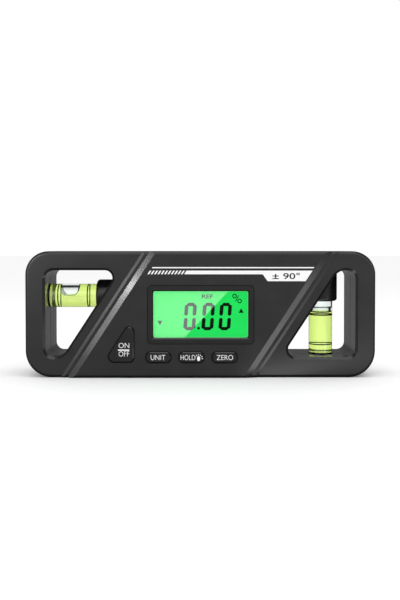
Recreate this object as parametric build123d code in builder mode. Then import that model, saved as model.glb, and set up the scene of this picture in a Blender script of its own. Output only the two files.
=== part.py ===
"""Digital pocket level: two moulded half shells round a display, four buttons and two bubble vials.

It rests on its lower edge. X runs along the level, the front faces -Y and Z is up. The origin is the
middle of the lower edge, on the parting plane between the two half shells.
"""
from build123d import *
import math
import os

os.makedirs("parts", exist_ok=True)

tiny = 0.01

# Body: outline, depths from the parting plane, and walls
length = 159.6
height = 57.6
top_corner = 10.7
bottom_corner = 12.2
end_depth = 12.0
rear_depth = 14.5
wall = 2.0
edge_round = 1.5
rear_bevel = 1.2
parting_gap = 0.45
parting_step = 0.7
lip_height = 1.2
lip_width = 0.8
lip_root = 2.0
lip_fit = 0.1

# Raised middle: a small first step, then the bevelled panel, both parallel to the slanted struts
strut_angle = 56.86
step_rise = 0.5
step_half = 44.6
step_soft = 1.5
panel_rise = 1.0
panel_half = 38.4
bevel_half = 41.4

# Windows, one at each end; the right one is the left one turned half round
window_end = 70.7
window_low = 9.4
window_high = 48.9
window_slant = 50.0
window_corner = 3.8
window_acute = 3.5
window_obtuse = 6.3
window_bevel = 1.1

# Display
display_x = 0.2
display_z = 28.85
bezel_side = 2.7
bezel_foot = 2.85
bezel_corner = 2.2
bezel_depth = 1.2
bezel_groove = 0.35
view_long = 43.1
view_high = 21.2
view_bevel = 0.5
lens_rim = 1.1
lens_thick = 0.9
lens_fit = 0.1
panel_thick = 2.0
backlight_thick = 2.2
holder_wall = 1.0
holder_fit = 0.2
display_gap = 0.1

# Circuit board and what it carries
board_thick = 1.6
board_half = 38.0
board_end = 46.0
board_low = 5.0
board_high = 45.8
board_post = 3.6
board_prop = 3.0
board_prop_x = 20.0
board_prop_z = 24.0
board_play = 0.1
switch_size = 4.5
switch_height = 1.6
plunger_size = 2.2
plunger_height = 0.9
plunger_fit = 0.1
chip_size = 10.0
chip_height = 1.2
chip_x = -8.0
chip_z = 36.0
sensor_size = 5.0
sensor_height = 1.0
sensor_x = 12.0
sensor_z = 24.0

# Buttons
cap_rise = 0.8
cap_bevel = 0.45
button_gap = 0.3
button_travel = 0.5
flange_lip = 0.9
flange_thick = 0.8
flange_play = 0.1
stem_size = 3.2
pill_long = 11.4
pill_high = 4.9
pill_corner = 2.2
pill_pitch = 15.0
pill_x = -4.0
pill_z = 9.55
power_right = -30.1
power_low = 7.3
power_slant = -29.55
power_apex_round = 2.1
power_side_round = 2.6
power_foot_round = 2.0
power_stem_x = -33.5
power_stem_z = 13.0

# Vials and their holders
vial_d = 11.0
vial_length = 30.0
vial_fit = 0.08
bore_d = 8.4
cavity_long = 21.0
fluid_gap = 0.04
bubble_long = 8.0
bubble_deep = 3.0
upright_bubble_deep = 3.1
cup_d = 15.1
cup_fit = 0.05
level_x = -59.3
level_z = 36.75
level_mouth = -48.3
level_cup_end = -37.4
plumb_x = 56.65
plumb_z = 21.0
plumb_mouth = 34.3
seat_wall = 1.9

# Battery bay, cells and contacts
cell_d = 10.5
cell_length = 44.5
cell_nub_d = 3.8
cell_nub = 1.0
cell_gap = 0.7
cell_play = 0.35
bay_z = 28.5
bay_wall = 1.2
bay_floor = 0.8
contact_thick = 0.4
contact_high = 8.0
contact_deep = 8.4
contact_play = 0.05
leg_width = 1.6
leaf_reach = 5.1
leaf_width = 3.0
leaf_thick = 0.3
leaf_foot = 3.6
leaf_flat = 1.2

# Battery door
door_thick = 1.5
door_gap = 0.2
door_rest = 0.1
door_left = -34.0
door_right = 30.0
door_high = 27.2
door_corner = 2.0
ledge_thick = 1.2
pad_margin = 1.3
tab_width = 6.0
tab_pitch = 14.0
tab_reach = 1.2
tab_thick = 1.1
tab_play = 0.2
tongue_width = 8.0
tongue_thick = 1.2
tongue_drop = 2.8
tongue_bead = 0.6
tongue_play = 0.3
grip_count = 4
grip_pitch = 2.0
grip_width = 0.8
grip_depth = 0.3
notch_d = 11.0
notch_depth = 0.9

# Screws and magnets
screw_d = 2.5
screw_head_d = 4.5
screw_head = 1.8
screw_length = 10.0
screw_seat = 6.0
screw_play = 0.15
post_size = 5.5
boss_size = 7.4
magnet_long = 20.0
magnet_wide = 8.0
magnet_thick = 3.0
magnet_sink = 0.2
magnet_fit = 0.1
magnet_wall = 1.2
magnet_pitch = 42.0

# Sizes that follow from the ones above
slant_run = 1 / math.tan(math.radians(strut_angle))
slant_sine = math.sin(math.radians(strut_angle))
slant_cosine = math.cos(math.radians(strut_angle))
window_middle = (window_low + window_high) / 2
step_depth = end_depth + step_rise
panel_depth = step_depth + panel_rise
panel_inside = panel_depth - wall
bezel_long = view_long + 2 * bezel_side
bezel_high = view_high + 2 * bezel_foot
lens_front = panel_depth - bezel_depth
lens_back = lens_front - lens_thick
glass_front = panel_inside - 2 * display_gap
glass_back = glass_front - panel_thick
board_front = glass_back - backlight_thick
board_back = board_front - board_thick
power_slant_foot = -power_slant + flange_lip / slant_sine
ledge_top = rear_depth - door_thick - door_rest
ledge_back = ledge_top - ledge_thick
rear_inside = rear_depth - wall
bay_long = cell_length + leaf_reach + 2 * (contact_thick + contact_play)
bay_high = 2 * cell_d + cell_gap + 2 * cell_play
cell_y = bay_floor + cell_play / 2 + cell_d / 2
cell_spacing = cell_d + cell_gap
hinge_round = door_thick / 2
hinge_x = door_left + door_gap + hinge_round
hinge_y = rear_depth - hinge_round
case_screws_at = [
    (-28.0, 50.0),
    (43.5, 50.4),
    (-52.0, 8.0),
    (29.5, 8.0),
]
board_posts_at = [(-31.5, 31.0), (31.5, 31.0)]
board_props_at = [(-board_prop_x, board_prop_z), (board_prop_x, board_prop_z)]
magnets_at = [-magnet_pitch, magnet_pitch]
pill_places = {
    "unit": pill_x - pill_pitch,
    "hold": pill_x,
    "zero": pill_x + pill_pitch,
}
upper_cell_z = bay_z + cell_spacing / 2
lower_cell_z = bay_z - cell_spacing / 2
contacts = {
    "bridge_plate": (-1, bay_z, cell_spacing + contact_high, upper_cell_z),
    "contact_plate_upper": (1, upper_cell_z, contact_high, None),
    "contact_plate_lower": (1, lower_cell_z, contact_high, lower_cell_z),
}
front_plane = Plane.XZ


def slanted(x_at_middle, z):
    """X at height z on a line parallel to the struts."""
    return x_at_middle + (z - window_middle) * slant_run


def body_outline(inset=0.0):
    """Side view of the body, or a smaller one inset all round."""
    with BuildSketch() as outline:
        with Locations((0, height / 2)):
            Rectangle(length - 2 * inset, height - 2 * inset)
        fillet(outline.vertices().group_by(Axis.Y)[-1], top_corner - inset)
        fillet(outline.vertices().group_by(Axis.Y)[0], bottom_corner - inset)
    return outline.sketch


def window_frame():
    """The left window with square corners, about the windows' common centre."""
    low = window_low - window_middle
    high = window_high - window_middle
    with BuildSketch() as frame:
        with BuildLine():
            Polyline(
                (-window_end, low),
                (-window_end, high),
                (-window_slant + high * slant_run, high),
                (-window_slant + low * slant_run, low),
                close=True,
            )
        make_face()
    return frame.sketch


def left_window(grow):
    """The left window, widened all round by grow."""
    with BuildSketch() as window:
        add(window_frame())
        fillet(window.vertices().sort_by(Axis.X)[-1], window_acute)
        fillet(window.vertices().sort_by(Axis.X)[2], window_obtuse)
        fillet(window.vertices().sort_by(Axis.X)[:2], window_corner)
        if grow:
            offset(amount=grow)
    return window.sketch


def both_windows(grow=0.0):
    """Both windows in the side view."""
    with BuildSketch() as windows:
        with Locations((0, window_middle)):
            with PolarLocations(0, 2):
                add(left_window(grow))
    return windows.sketch


def hollow_profile():
    """The hollow between the outer wall and the window walls, square in the windows' corners."""
    with BuildSketch() as walled:
        add(window_frame())
        offset(amount=wall, kind=Kind.INTERSECTION)
    with BuildSketch() as hollow:
        add(body_outline(wall))
        with Locations((0, window_middle)):
            with PolarLocations(0, 2):
                add(walled.sketch, mode=Mode.SUBTRACT)
    return hollow.sketch


def slanted_band(half, low, high):
    """Parallelogram between two lines parallel to the struts."""
    with BuildSketch() as band:
        with BuildLine():
            Polyline(
                (slanted(-half, low), low),
                (slanted(half, low), low),
                (slanted(half, high), high),
                (slanted(-half, high), high),
                close=True,
            )
        make_face()
    return band.sketch


def power_shape(grow=0.0):
    """Rounded triangle of the ON/OFF button, with its long side along the strut."""
    apex_z = window_middle + (power_right - power_slant) / slant_run
    foot_x = slanted(power_slant, power_low)
    with BuildSketch() as shape:
        with BuildLine():
            Polyline(
                (foot_x, power_low), (power_right, power_low), (power_right, apex_z), close=True
            )
        make_face()
        fillet(shape.vertices().sort_by(Axis.Y)[-1], power_apex_round)
        fillet(shape.vertices().sort_by(Axis.X)[0], power_side_round)
        fillet(
            shape.vertices().filter_by_position(Axis.Y, power_low, power_low).sort_by(Axis.X)[-1],
            power_foot_round,
        )
        if grow:
            offset(amount=grow)
    return shape.sketch


def pill_shape(x, grow=0.0):
    """One of the three equal button shapes."""
    with BuildSketch() as shape:
        with Locations((x, pill_z)):
            RectangleRounded(pill_long + 2 * grow, pill_high + 2 * grow, pill_corner + grow)
    return shape.sketch


def raised_layer(depth, top_half, foot_half, foot_depth):
    """A slab across the body with rounded outer edges and slanted, sloping sides."""
    across = Plane(
        origin=(0, 0, window_middle),
        x_dir=(slant_sine, 0, -slant_cosine),
        z_dir=(slant_cosine, 0, slant_sine),
    )
    with BuildPart() as layer:
        with BuildSketch(front_plane):
            add(body_outline())
        extrude(amount=depth)
        fillet(layer.faces().sort_by(Axis.Y)[0].edges(), edge_round)
        with BuildSketch(across):
            with BuildLine():
                Polyline(
                    (-foot_half * slant_sine, -wall),
                    (-foot_half * slant_sine, -foot_depth),
                    (-top_half * slant_sine, -depth),
                    (top_half * slant_sine, -depth),
                    (foot_half * slant_sine, -foot_depth),
                    (foot_half * slant_sine, -wall),
                    close=True,
                )
            make_face()
        extrude(amount=length, both=True, mode=Mode.INTERSECT)
    return layer.part


def cylinder_along(plane, diameter, long):
    """A plain cylinder that starts on a plane."""
    with BuildPart() as rod:
        with BuildSketch(plane):
            Circle(diameter / 2)
        extrude(amount=long)
    return rod.part


level_plane = Plane(origin=(level_x, 0, level_z), x_dir=(0, 0, 1), z_dir=(1, 0, 0))
plumb_plane = Plane(origin=(plumb_x, 0, plumb_z), x_dir=(1, 0, 0), z_dir=(0, 0, 1))
level_cup_plane = Plane(origin=(level_mouth, 0, level_z), x_dir=(0, 0, 1), z_dir=(1, 0, 0))
plumb_cup_plane = Plane(origin=(plumb_x, 0, plumb_mouth), x_dir=(1, 0, 0), z_dir=(0, 0, 1))
level_cup_length = level_cup_end - level_mouth
plumb_cup_length = window_high + wall - plumb_mouth


def vial_passages():
    """What both shells give way to: the seats of the vials and the places of their holders."""
    seat_d = vial_d + 2 * vial_fit
    level_seat = level_plane.offset(-vial_length / 2 - vial_fit)
    plumb_seat = plumb_plane.offset(-vial_length / 2 - vial_fit)
    hole_d = cup_d + 2 * cup_fit
    return [
        cylinder_along(level_seat, seat_d, vial_length),
        cylinder_along(plumb_seat, seat_d, vial_length),
        cylinder_along(level_cup_plane, hole_d, level_cup_length + wall),
        cylinder_along(plumb_cup_plane, hole_d, plumb_cup_length + cup_fit),
    ]


def seat_block_profiles():
    """Side view of the blocks that hold the wall end of each vial."""
    seat = vial_d / 2 + seat_wall
    with BuildSketch() as blocks:
        with Locations((-(length / 2 + window_end + wall) / 2, level_z)):
            Rectangle(length / 2 - window_end, 2 * seat)
        with Locations((plumb_x, (window_low + wall) / 2)):
            Rectangle(2 * seat, window_low)
        add(hollow_profile(), mode=Mode.INTERSECT)
    return blocks.sketch


def magnet_block_profile():
    """Side view of the pockets' walls over the base magnets."""
    with BuildSketch() as blocks:
        for x in magnets_at:
            with Locations((x, (wall + magnet_sink + magnet_thick + magnet_wall) / 2)):
                Rectangle(
                    magnet_long + 2 * magnet_wall,
                    magnet_sink + magnet_thick + magnet_wall - wall,
                )
    return blocks.sketch


def magnet_pockets():
    """The pockets in the base."""
    with BuildPart() as pockets:
        with BuildSketch():
            for x in magnets_at:
                with Locations((x, 0)):
                    Rectangle(magnet_long + 2 * magnet_fit, magnet_wide + 2 * magnet_fit)
        extrude(amount=magnet_sink + magnet_thick + magnet_fit)
    return pockets.part


# The raised middle of the front
step_layer = raised_layer(step_depth, step_half - step_soft, step_half, end_depth)
panel_layer = raised_layer(panel_depth, panel_half, bevel_half, step_depth)

# Front cover
with BuildPart() as front_cover:
    with BuildSketch(front_plane):
        add(body_outline())
    extrude(amount=end_depth)
    fillet(front_cover.faces().sort_by(Axis.Y)[0].edges(), edge_round)
    with BuildSketch(front_plane.offset(end_depth)):
        add(both_windows())
    extrude(amount=-end_depth, mode=Mode.SUBTRACT)
    rims = front_cover.edges().filter_by_position(Axis.Y, -end_depth - tiny, -end_depth + tiny)
    chamfer(
        rims.filter_by(lambda edge: abs(edge.center().X) < window_end + tiny)
        .filter_by(lambda edge: window_low - tiny < edge.center().Z < window_high + tiny),
        window_bevel,
    )
    add(step_layer)
    add(panel_layer)
    with BuildSketch(front_plane):
        add(hollow_profile())
    extrude(amount=end_depth - wall, mode=Mode.SUBTRACT)
    with BuildSketch(front_plane.offset(end_depth - wall)):
        add(hollow_profile())
        add(slanted_band(panel_half - wall, 0, height), mode=Mode.INTERSECT)
    extrude(amount=panel_inside - end_depth + wall, mode=Mode.SUBTRACT)
    with BuildSketch(front_plane):
        add(seat_block_profiles())
    extrude(amount=vial_d / 2 + seat_wall)
    with BuildSketch(front_plane):
        add(magnet_block_profile())
    extrude(amount=magnet_wide / 2 + magnet_wall)
    with BuildSketch(front_plane):
        with Locations(*case_screws_at):
            Rectangle(post_size, post_size)
    extrude(amount=end_depth - wall / 2)
    with BuildSketch(front_plane.offset(end_depth - wall)):
        with Locations(*case_screws_at):
            Rectangle(post_size, post_size)
        add(slanted_band(panel_half - wall, 0, height), mode=Mode.INTERSECT)
    extrude(amount=panel_inside - end_depth + wall * 3 / 2)
    with BuildSketch(front_plane.offset(board_front)):
        with Locations(*board_posts_at):
            Rectangle(board_post, board_post)
    extrude(amount=panel_inside - board_front + wall / 2)
    with BuildSketch(front_plane):
        with Locations(*case_screws_at):
            Circle(screw_d / 2 + screw_play)
    extrude(amount=screw_length - screw_seat + wall, mode=Mode.SUBTRACT)
    with BuildSketch(front_plane.offset(panel_depth)):
        with Locations((display_x, display_z)):
            RectangleRounded(bezel_long, bezel_high, bezel_corner)
    extrude(amount=-bezel_depth, mode=Mode.SUBTRACT)
    with BuildSketch(front_plane.offset(lens_front)):
        with Locations((display_x, display_z)):
            Rectangle(
                view_long + 2 * (lens_rim + lens_fit), view_high + 2 * (lens_rim + lens_fit)
            )
    extrude(amount=-wall, mode=Mode.SUBTRACT)
    with BuildSketch(front_plane.offset(panel_depth)):
        add(power_shape(button_gap))
        for pill_place in pill_places.values():
            add(pill_shape(pill_place, button_gap))
    extrude(amount=-wall - display_gap, mode=Mode.SUBTRACT)
    for passage in vial_passages():
        add(passage, mode=Mode.SUBTRACT)
    add(magnet_pockets(), mode=Mode.SUBTRACT)

front_cover.part.label = "front_cover"
export_step(front_cover.part, "parts/front_cover.step")


def bay_box(margin, front, back):
    """Box round the two cells, grown by margin, between two depths behind the parting plane."""
    with BuildPart() as box:
        with BuildSketch(front_plane.offset(-front)):
            with Locations((0, bay_z)):
                Rectangle(bay_long + 2 * margin, bay_high + 2 * margin)
        extrude(amount=front - back)
    return box.part


def lip_ring():
    """Locating lip inside the outer wall, broken where blocks of the front cross it."""
    with BuildPart() as ring:
        with BuildSketch(front_plane):
            add(body_outline(wall + lip_fit))
            add(body_outline(wall + lip_fit + lip_width), mode=Mode.SUBTRACT)
        extrude(amount=lip_height)
        with BuildSketch(front_plane):
            keep_off = 2 * lip_fit
            with Locations(*[(x, wall) for x in magnets_at]):
                Rectangle(magnet_long + 2 * magnet_wall + keep_off, 2 * magnet_thick)
            with Locations((-(length / 2 + window_end) / 2, level_z)):
                Rectangle(length / 2 - window_end, vial_d + 2 * seat_wall + keep_off)
            with Locations((plumb_x, window_low / 2)):
                Rectangle(vial_d + 2 * seat_wall + keep_off, window_low)
        extrude(amount=lip_height, mode=Mode.SUBTRACT)
        with BuildSketch(front_plane):
            add(body_outline(wall - lip_fit))
            add(body_outline(wall + lip_fit + lip_width), mode=Mode.SUBTRACT)
        extrude(amount=-lip_root)
    return ring.part


def door_outline(inset=0.0):
    """The battery door's opening, square at the hinge and rounded at the snap, or a smaller one."""
    with BuildSketch() as outline:
        with Locations((door_middle, bay_z)):
            Rectangle(door_span - 2 * inset, door_high - 2 * inset)
        fillet(outline.vertices().group_by(Axis.X)[-1], door_corner - inset)
    return outline.sketch


# Rear cover
door_middle = (door_left + door_right) / 2
door_span = door_right - door_left
with BuildPart() as rear_cover:
    with BuildSketch(front_plane):
        add(body_outline())
    extrude(amount=-rear_depth)
    chamfer(rear_cover.faces().sort_by(Axis.Y)[-1].edges(), rear_bevel)
    with BuildSketch(front_plane.offset(-rear_depth)):
        add(both_windows())
    extrude(amount=rear_depth, mode=Mode.SUBTRACT)
    with BuildSketch(front_plane):
        add(hollow_profile())
    extrude(amount=-rear_inside, mode=Mode.SUBTRACT)
    add(lip_ring())
    with BuildSketch(front_plane):
        add(body_outline())
        add(body_outline(parting_step), mode=Mode.SUBTRACT)
        add(both_windows(parting_step))
    extrude(amount=-parting_gap, mode=Mode.SUBTRACT)
    with BuildSketch(front_plane):
        add(seat_block_profiles())
    extrude(amount=-vial_d / 2 - seat_wall)
    with BuildSketch(front_plane):
        add(magnet_block_profile())
    extrude(amount=-magnet_wide / 2 - magnet_wall)
    with BuildSketch(front_plane):
        with Locations(*case_screws_at):
            Rectangle(boss_size, boss_size)
        add(body_outline(wall / 2), mode=Mode.INTERSECT)
    extrude(amount=-rear_inside - wall / 2)
    with BuildSketch(front_plane.offset(-ledge_back)):
        with Locations((door_middle, bay_z)):
            Rectangle(door_span + 2 * pad_margin, door_high + 2 * pad_margin)
    extrude(amount=-(rear_inside - ledge_back))
    add(bay_box(bay_wall, bay_floor - bay_wall, rear_inside))
    with BuildSketch(front_plane.offset(board_back - board_play)):
        with Locations(*board_props_at):
            Rectangle(board_prop, board_prop)
    extrude(amount=-(board_back - board_play + bay_floor - bay_wall / 2))
    add(bay_box(0, bay_floor, rear_depth), mode=Mode.SUBTRACT)
    with BuildSketch(front_plane.offset(-bay_floor)):
        for side, middle, _, _ in contacts.values():
            with Locations((side * (bay_long / 2 - contact_thick / 2), middle)):
                Rectangle(contact_thick + 2 * contact_play, leg_width + 2 * tab_play)
    extrude(amount=bay_wall, mode=Mode.SUBTRACT)
    with BuildSketch(front_plane.offset(-ledge_top)):
        add(door_outline())
    extrude(amount=-(rear_depth - ledge_top), mode=Mode.SUBTRACT)
    with BuildSketch(front_plane.offset(-ledge_back)):
        for side in (-1, 1):
            with Locations((door_left + door_gap, bay_z + side * tab_pitch / 2)):
                Rectangle(2 * (tab_reach + door_thick) + pad_margin, tab_width + 2 * tab_play)
    extrude(amount=-(rear_inside - ledge_back), mode=Mode.SUBTRACT)
    with BuildSketch(front_plane.offset(-ledge_back)):
        for side in (-1, 1):
            with Locations((door_left, bay_z + side * tab_pitch / 2)):
                Rectangle(
                    2 * (tab_reach + door_thick),
                    tab_width + 2 * tab_play,
                    align=(Align.MIN, Align.CENTER),
                )
        with Locations((door_right - tongue_bead, bay_z)):
            Rectangle(
                tongue_thick + tongue_bead + 2 * tongue_play,
                tongue_width + 2 * tab_play,
                align=(Align.MAX, Align.CENTER),
            )
    extrude(amount=-ledge_thick, mode=Mode.SUBTRACT)
    with BuildSketch(front_plane.offset(-rear_depth)):
        with Locations((door_right, bay_z)):
            Circle(notch_d / 2)
    extrude(amount=notch_depth, mode=Mode.SUBTRACT)
    with BuildSketch(front_plane):
        with Locations(*case_screws_at):
            Circle(screw_d / 2 + screw_play)
    extrude(amount=-rear_depth, mode=Mode.SUBTRACT)
    with BuildSketch(front_plane.offset(-screw_seat)):
        with Locations(*case_screws_at):
            Circle(screw_head_d / 2 + screw_play)
    extrude(amount=-(rear_depth - screw_seat), mode=Mode.SUBTRACT)
    for passage in vial_passages():
        add(passage, mode=Mode.SUBTRACT)
    add(magnet_pockets(), mode=Mode.SUBTRACT)

rear_cover.part.label = "rear_cover"
export_step(rear_cover.part, "parts/rear_cover.step")

# Battery door: rounded hinge edge, two hooked tabs under the rear wall and a snap tongue
door_low_x = hinge_x - hinge_round
door_inner = rear_depth - door_thick
tab_foot = rear_inside - tab_play - tab_thick
with BuildPart() as battery_door:
    with BuildSketch(front_plane.offset(-door_inner)):
        add(door_outline(door_gap))
    extrude(amount=-door_thick)
    with BuildSketch(Plane.XY.offset(bay_z - height)):
        with BuildLine():
            Polyline(
                (door_low_x - wall, hinge_y - wall),
                (hinge_x, hinge_y - wall),
                (hinge_x, rear_depth + wall),
                (door_low_x - wall, rear_depth + wall),
                close=True,
            )
        make_face()
        with Locations((hinge_x, hinge_y)):
            Circle(hinge_round, mode=Mode.SUBTRACT)
    extrude(amount=2 * height, mode=Mode.SUBTRACT)
    for side in (-1, 1):
        with BuildSketch(Plane.XY.offset(bay_z + side * tab_pitch / 2 - tab_width / 2)):
            with BuildLine():
                Polyline(
                    (door_left - tab_reach, tab_foot),
                    (hinge_x + door_thick, tab_foot),
                    (hinge_x + door_thick, door_inner),
                    (hinge_x + door_thick - tab_thick, door_inner),
                    (hinge_x + door_thick - tab_thick, tab_foot + tab_thick),
                    (door_left - tab_reach, tab_foot + tab_thick),
                    close=True,
                )
            make_face()
        extrude(amount=tab_width)
    tongue_x = door_right - 2 * tongue_bead - tongue_play
    with BuildSketch(Plane.XY.offset(bay_z - tongue_width / 2)):
        with BuildLine():
            Polyline(
                (tongue_x - tongue_thick, door_inner),
                (tongue_x - tongue_thick, door_inner - tongue_drop),
                (tongue_x, door_inner - tongue_drop),
                (tongue_x + tongue_bead, door_inner - tongue_drop + tongue_bead),
                (tongue_x, door_inner - tongue_drop + 2 * tongue_bead),
                (tongue_x, door_inner),
                close=True,
            )
        make_face()
    extrude(amount=tongue_width)
    with BuildSketch(front_plane.offset(-rear_depth)):
        with Locations((door_right - notch_d, bay_z)):
            with GridLocations(grip_pitch, 0, grip_count, 1):
                Rectangle(grip_width, door_high / 2)
    extrude(amount=grip_depth, mode=Mode.SUBTRACT)

battery_door.part.label = "battery_door"
export_step(battery_door.part, "parts/battery_door.step")

# Display stack, from the front: bezel, lens, panel, backlight, holder
with BuildPart() as display_bezel:
    with BuildSketch(front_plane.offset(lens_front)):
        with Locations((display_x, display_z)):
            RectangleRounded(
                bezel_long - 2 * bezel_groove,
                bezel_high - 2 * bezel_groove,
                bezel_corner - bezel_groove,
            )
            Rectangle(view_long, view_high, mode=Mode.SUBTRACT)
    extrude(amount=bezel_depth)
    chamfer(display_bezel.faces().sort_by(Axis.Y)[0].inner_wires().edges(), view_bevel)

display_bezel.part.label = "display_bezel"
export_step(display_bezel.part, "parts/display_bezel.step")

with BuildPart() as display_lens:
    with BuildSketch(front_plane.offset(lens_back)):
        with Locations((display_x, display_z)):
            Rectangle(view_long + 2 * lens_rim, view_high + 2 * lens_rim)
    extrude(amount=lens_thick)

display_lens.part.label = "display_lens"
export_step(display_lens.part, "parts/display_lens.step")

glass_long = view_long + 2 * lens_rim + 2 * display_gap
glass_high = view_high + 2 * lens_rim + 2 * display_gap
with BuildPart() as lcd_panel:
    with BuildSketch(front_plane.offset(glass_back)):
        with Locations((display_x, display_z)):
            Rectangle(glass_long, glass_high)
    extrude(amount=panel_thick)

lcd_panel.part.label = "lcd_panel"
export_step(lcd_panel.part, "parts/lcd_panel.step")

with BuildPart() as lcd_backlight:
    with BuildSketch(front_plane.offset(board_front)):
        with Locations((display_x, display_z)):
            Rectangle(glass_long, glass_high)
    extrude(amount=backlight_thick)

lcd_backlight.part.label = "lcd_backlight"
export_step(lcd_backlight.part, "parts/lcd_backlight.step")

with BuildPart() as lcd_holder:
    with BuildSketch(front_plane.offset(board_front)):
        with Locations((display_x, display_z)):
            Rectangle(
                glass_long + 2 * (holder_fit + holder_wall),
                glass_high + 2 * (holder_fit + holder_wall),
            )
            Rectangle(
                glass_long + 2 * holder_fit, glass_high + 2 * holder_fit, mode=Mode.SUBTRACT
            )
    extrude(amount=panel_inside - board_front - display_gap)

lcd_holder.part.label = "lcd_holder"
export_step(lcd_holder.part, "parts/lcd_holder.step")

# Circuit board, cut to the slanted struts
with BuildPart() as circuit_board:
    with BuildSketch(front_plane.offset(board_back)):
        add(slanted_band(board_half, board_low, board_high))
        with Locations((0, height / 2)):
            Rectangle(2 * board_end, height, mode=Mode.INTERSECT)
    extrude(amount=board_thick)

circuit_board.part.label = "circuit_board"
export_step(circuit_board.part, "parts/circuit_board.step")

button_stems = {name: (x, pill_z) for name, x in pill_places.items()}
button_stems["on_off"] = (power_stem_x, power_stem_z)
plunger_top = board_front + switch_height + plunger_height

with BuildPart() as tact_switches:
    with BuildSketch(front_plane.offset(board_front)):
        with Locations(*button_stems.values()):
            Rectangle(switch_size, switch_size)
    extrude(amount=switch_height)
    with BuildSketch(front_plane.offset(board_front + switch_height)):
        with Locations(*button_stems.values()):
            Rectangle(plunger_size + 2 * plunger_fit, plunger_size + 2 * plunger_fit)
    extrude(amount=-(switch_height / 2 + button_travel), mode=Mode.SUBTRACT)

tact_switches.part.label = "tact_switches"
export_step(tact_switches.part, "parts/tact_switches.step")

with BuildPart() as controller_chip:
    with BuildSketch(front_plane.offset(board_back)):
        with Locations((chip_x, chip_z)):
            Rectangle(chip_size, chip_size)
    extrude(amount=-chip_height)

controller_chip.part.label = "controller_chip"
export_step(controller_chip.part, "parts/controller_chip.step")

with BuildPart() as tilt_sensor:
    with BuildSketch(front_plane.offset(board_back)):
        with Locations((sensor_x, sensor_z)):
            Rectangle(sensor_size, sensor_size)
    extrude(amount=-sensor_height)

tilt_sensor.part.label = "tilt_sensor"
export_step(tilt_sensor.part, "parts/tilt_sensor.step")

# Buttons: a bevelled cap through the panel, a flange behind it and a stem on the switch's plunger
flange_front = panel_inside - flange_play
for name, stem in button_stems.items():
    cap_shape = power_shape() if name == "on_off" else pill_shape(stem[0])
    reach = cap_shape.bounding_box()
    with BuildPart() as button:
        with BuildSketch(front_plane.offset(flange_front - flange_thick)):
            with Locations((reach.center().X, reach.center().Y)):
                Rectangle(reach.size.X + 2 * flange_lip, reach.size.Y + 2 * flange_lip)
            if name == "on_off":
                add(slanted_band(power_slant_foot, 0, height), mode=Mode.INTERSECT)
        extrude(amount=flange_thick)
        with BuildSketch(front_plane.offset(flange_front)):
            add(cap_shape)
        extrude(amount=panel_depth + cap_rise - flange_front)
        chamfer(button.faces().sort_by(Axis.Y)[0].edges(), cap_bevel)
        with BuildSketch(front_plane.offset(plunger_top)):
            with Locations(stem):
                Rectangle(stem_size, stem_size)
        extrude(amount=flange_front - plunger_top)
    button.part.label = f"{name}_button"
    export_step(button.part, f"parts/{name}_button.step")
    with BuildPart() as plunger:
        with BuildSketch(front_plane.offset(board_front + switch_height / 2)):
            with Locations(stem):
                Rectangle(plunger_size, plunger_size)
        extrude(amount=plunger_top - board_front - switch_height / 2)
    plunger.part.label = f"{name}_plunger"
    export_step(plunger.part, f"parts/{name}_plunger.step")


def vial_body():
    """Clear tube about the origin, closed below, bored from above."""
    with BuildPart() as vial:
        with BuildSketch(Plane.XY.offset(-vial_length / 2)):
            Circle(vial_d / 2)
        extrude(amount=vial_length)
        with BuildSketch(Plane.XY.offset(-cavity_long / 2)):
            Circle(bore_d / 2)
        extrude(amount=vial_length, mode=Mode.SUBTRACT)
    return vial.part


def vial_plug():
    """Plug that closes the bore."""
    with BuildPart() as plug:
        with BuildSketch(Plane.XY.offset(cavity_long / 2)):
            Circle(bore_d / 2 - fluid_gap)
        extrude(amount=(vial_length - cavity_long) / 2)
    return plug.part


def vial_fluid(level):
    """The filling, less its bubble: under the upper wall, or over the whole bore."""
    radius = ((bubble_long / 2) ** 2 + bubble_deep**2) / (2 * bubble_deep)
    tall = cavity_long if level else cavity_long - upright_bubble_deep
    with BuildPart() as fluid:
        with BuildSketch(Plane.XY.offset(fluid_gap - cavity_long / 2)):
            Circle(bore_d / 2 - fluid_gap)
        extrude(amount=tall - 2 * fluid_gap)
        if level:
            with BuildSketch(Plane.XZ):
                with Locations((bore_d / 2 - bubble_deep + radius, 0)):
                    Circle(radius)
            extrude(amount=bore_d, both=True, mode=Mode.SUBTRACT)
    return fluid.part


def cup(long, grip):
    """Vial holder from its mouth at the origin upwards, with a blind seat."""
    with BuildPart() as holder:
        with BuildSketch():
            Circle(cup_d / 2)
        extrude(amount=long)
        with BuildSketch():
            Circle(vial_d / 2 + vial_fit)
        extrude(amount=grip + vial_fit, mode=Mode.SUBTRACT)
    return holder.part


for name, plane, level in (
    ("horizontal_vial", level_plane, True),
    ("vertical_vial", plumb_plane, False),
):
    pieces = {
        name: vial_body(),
        f"{name}_plug": vial_plug(),
        f"{name}_fluid": vial_fluid(level),
    }
    for label, piece in pieces.items():
        with BuildPart() as placed:
            add(piece.moved(plane.location))
        placed.part.label = label
        export_step(placed.part, f"parts/{label}.step")

for name, plane, long, grip in (
    ("horizontal_vial_holder", level_cup_plane, level_cup_length,
     level_x + vial_length / 2 - level_mouth),
    ("vertical_vial_holder", plumb_cup_plane, plumb_cup_length,
     plumb_z + vial_length / 2 - plumb_mouth),
):
    with BuildPart() as vial_holder:
        add(cup(long, grip).moved(plane.location))
    vial_holder.part.label = name
    export_step(vial_holder.part, f"parts/{name}.step")

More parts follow.
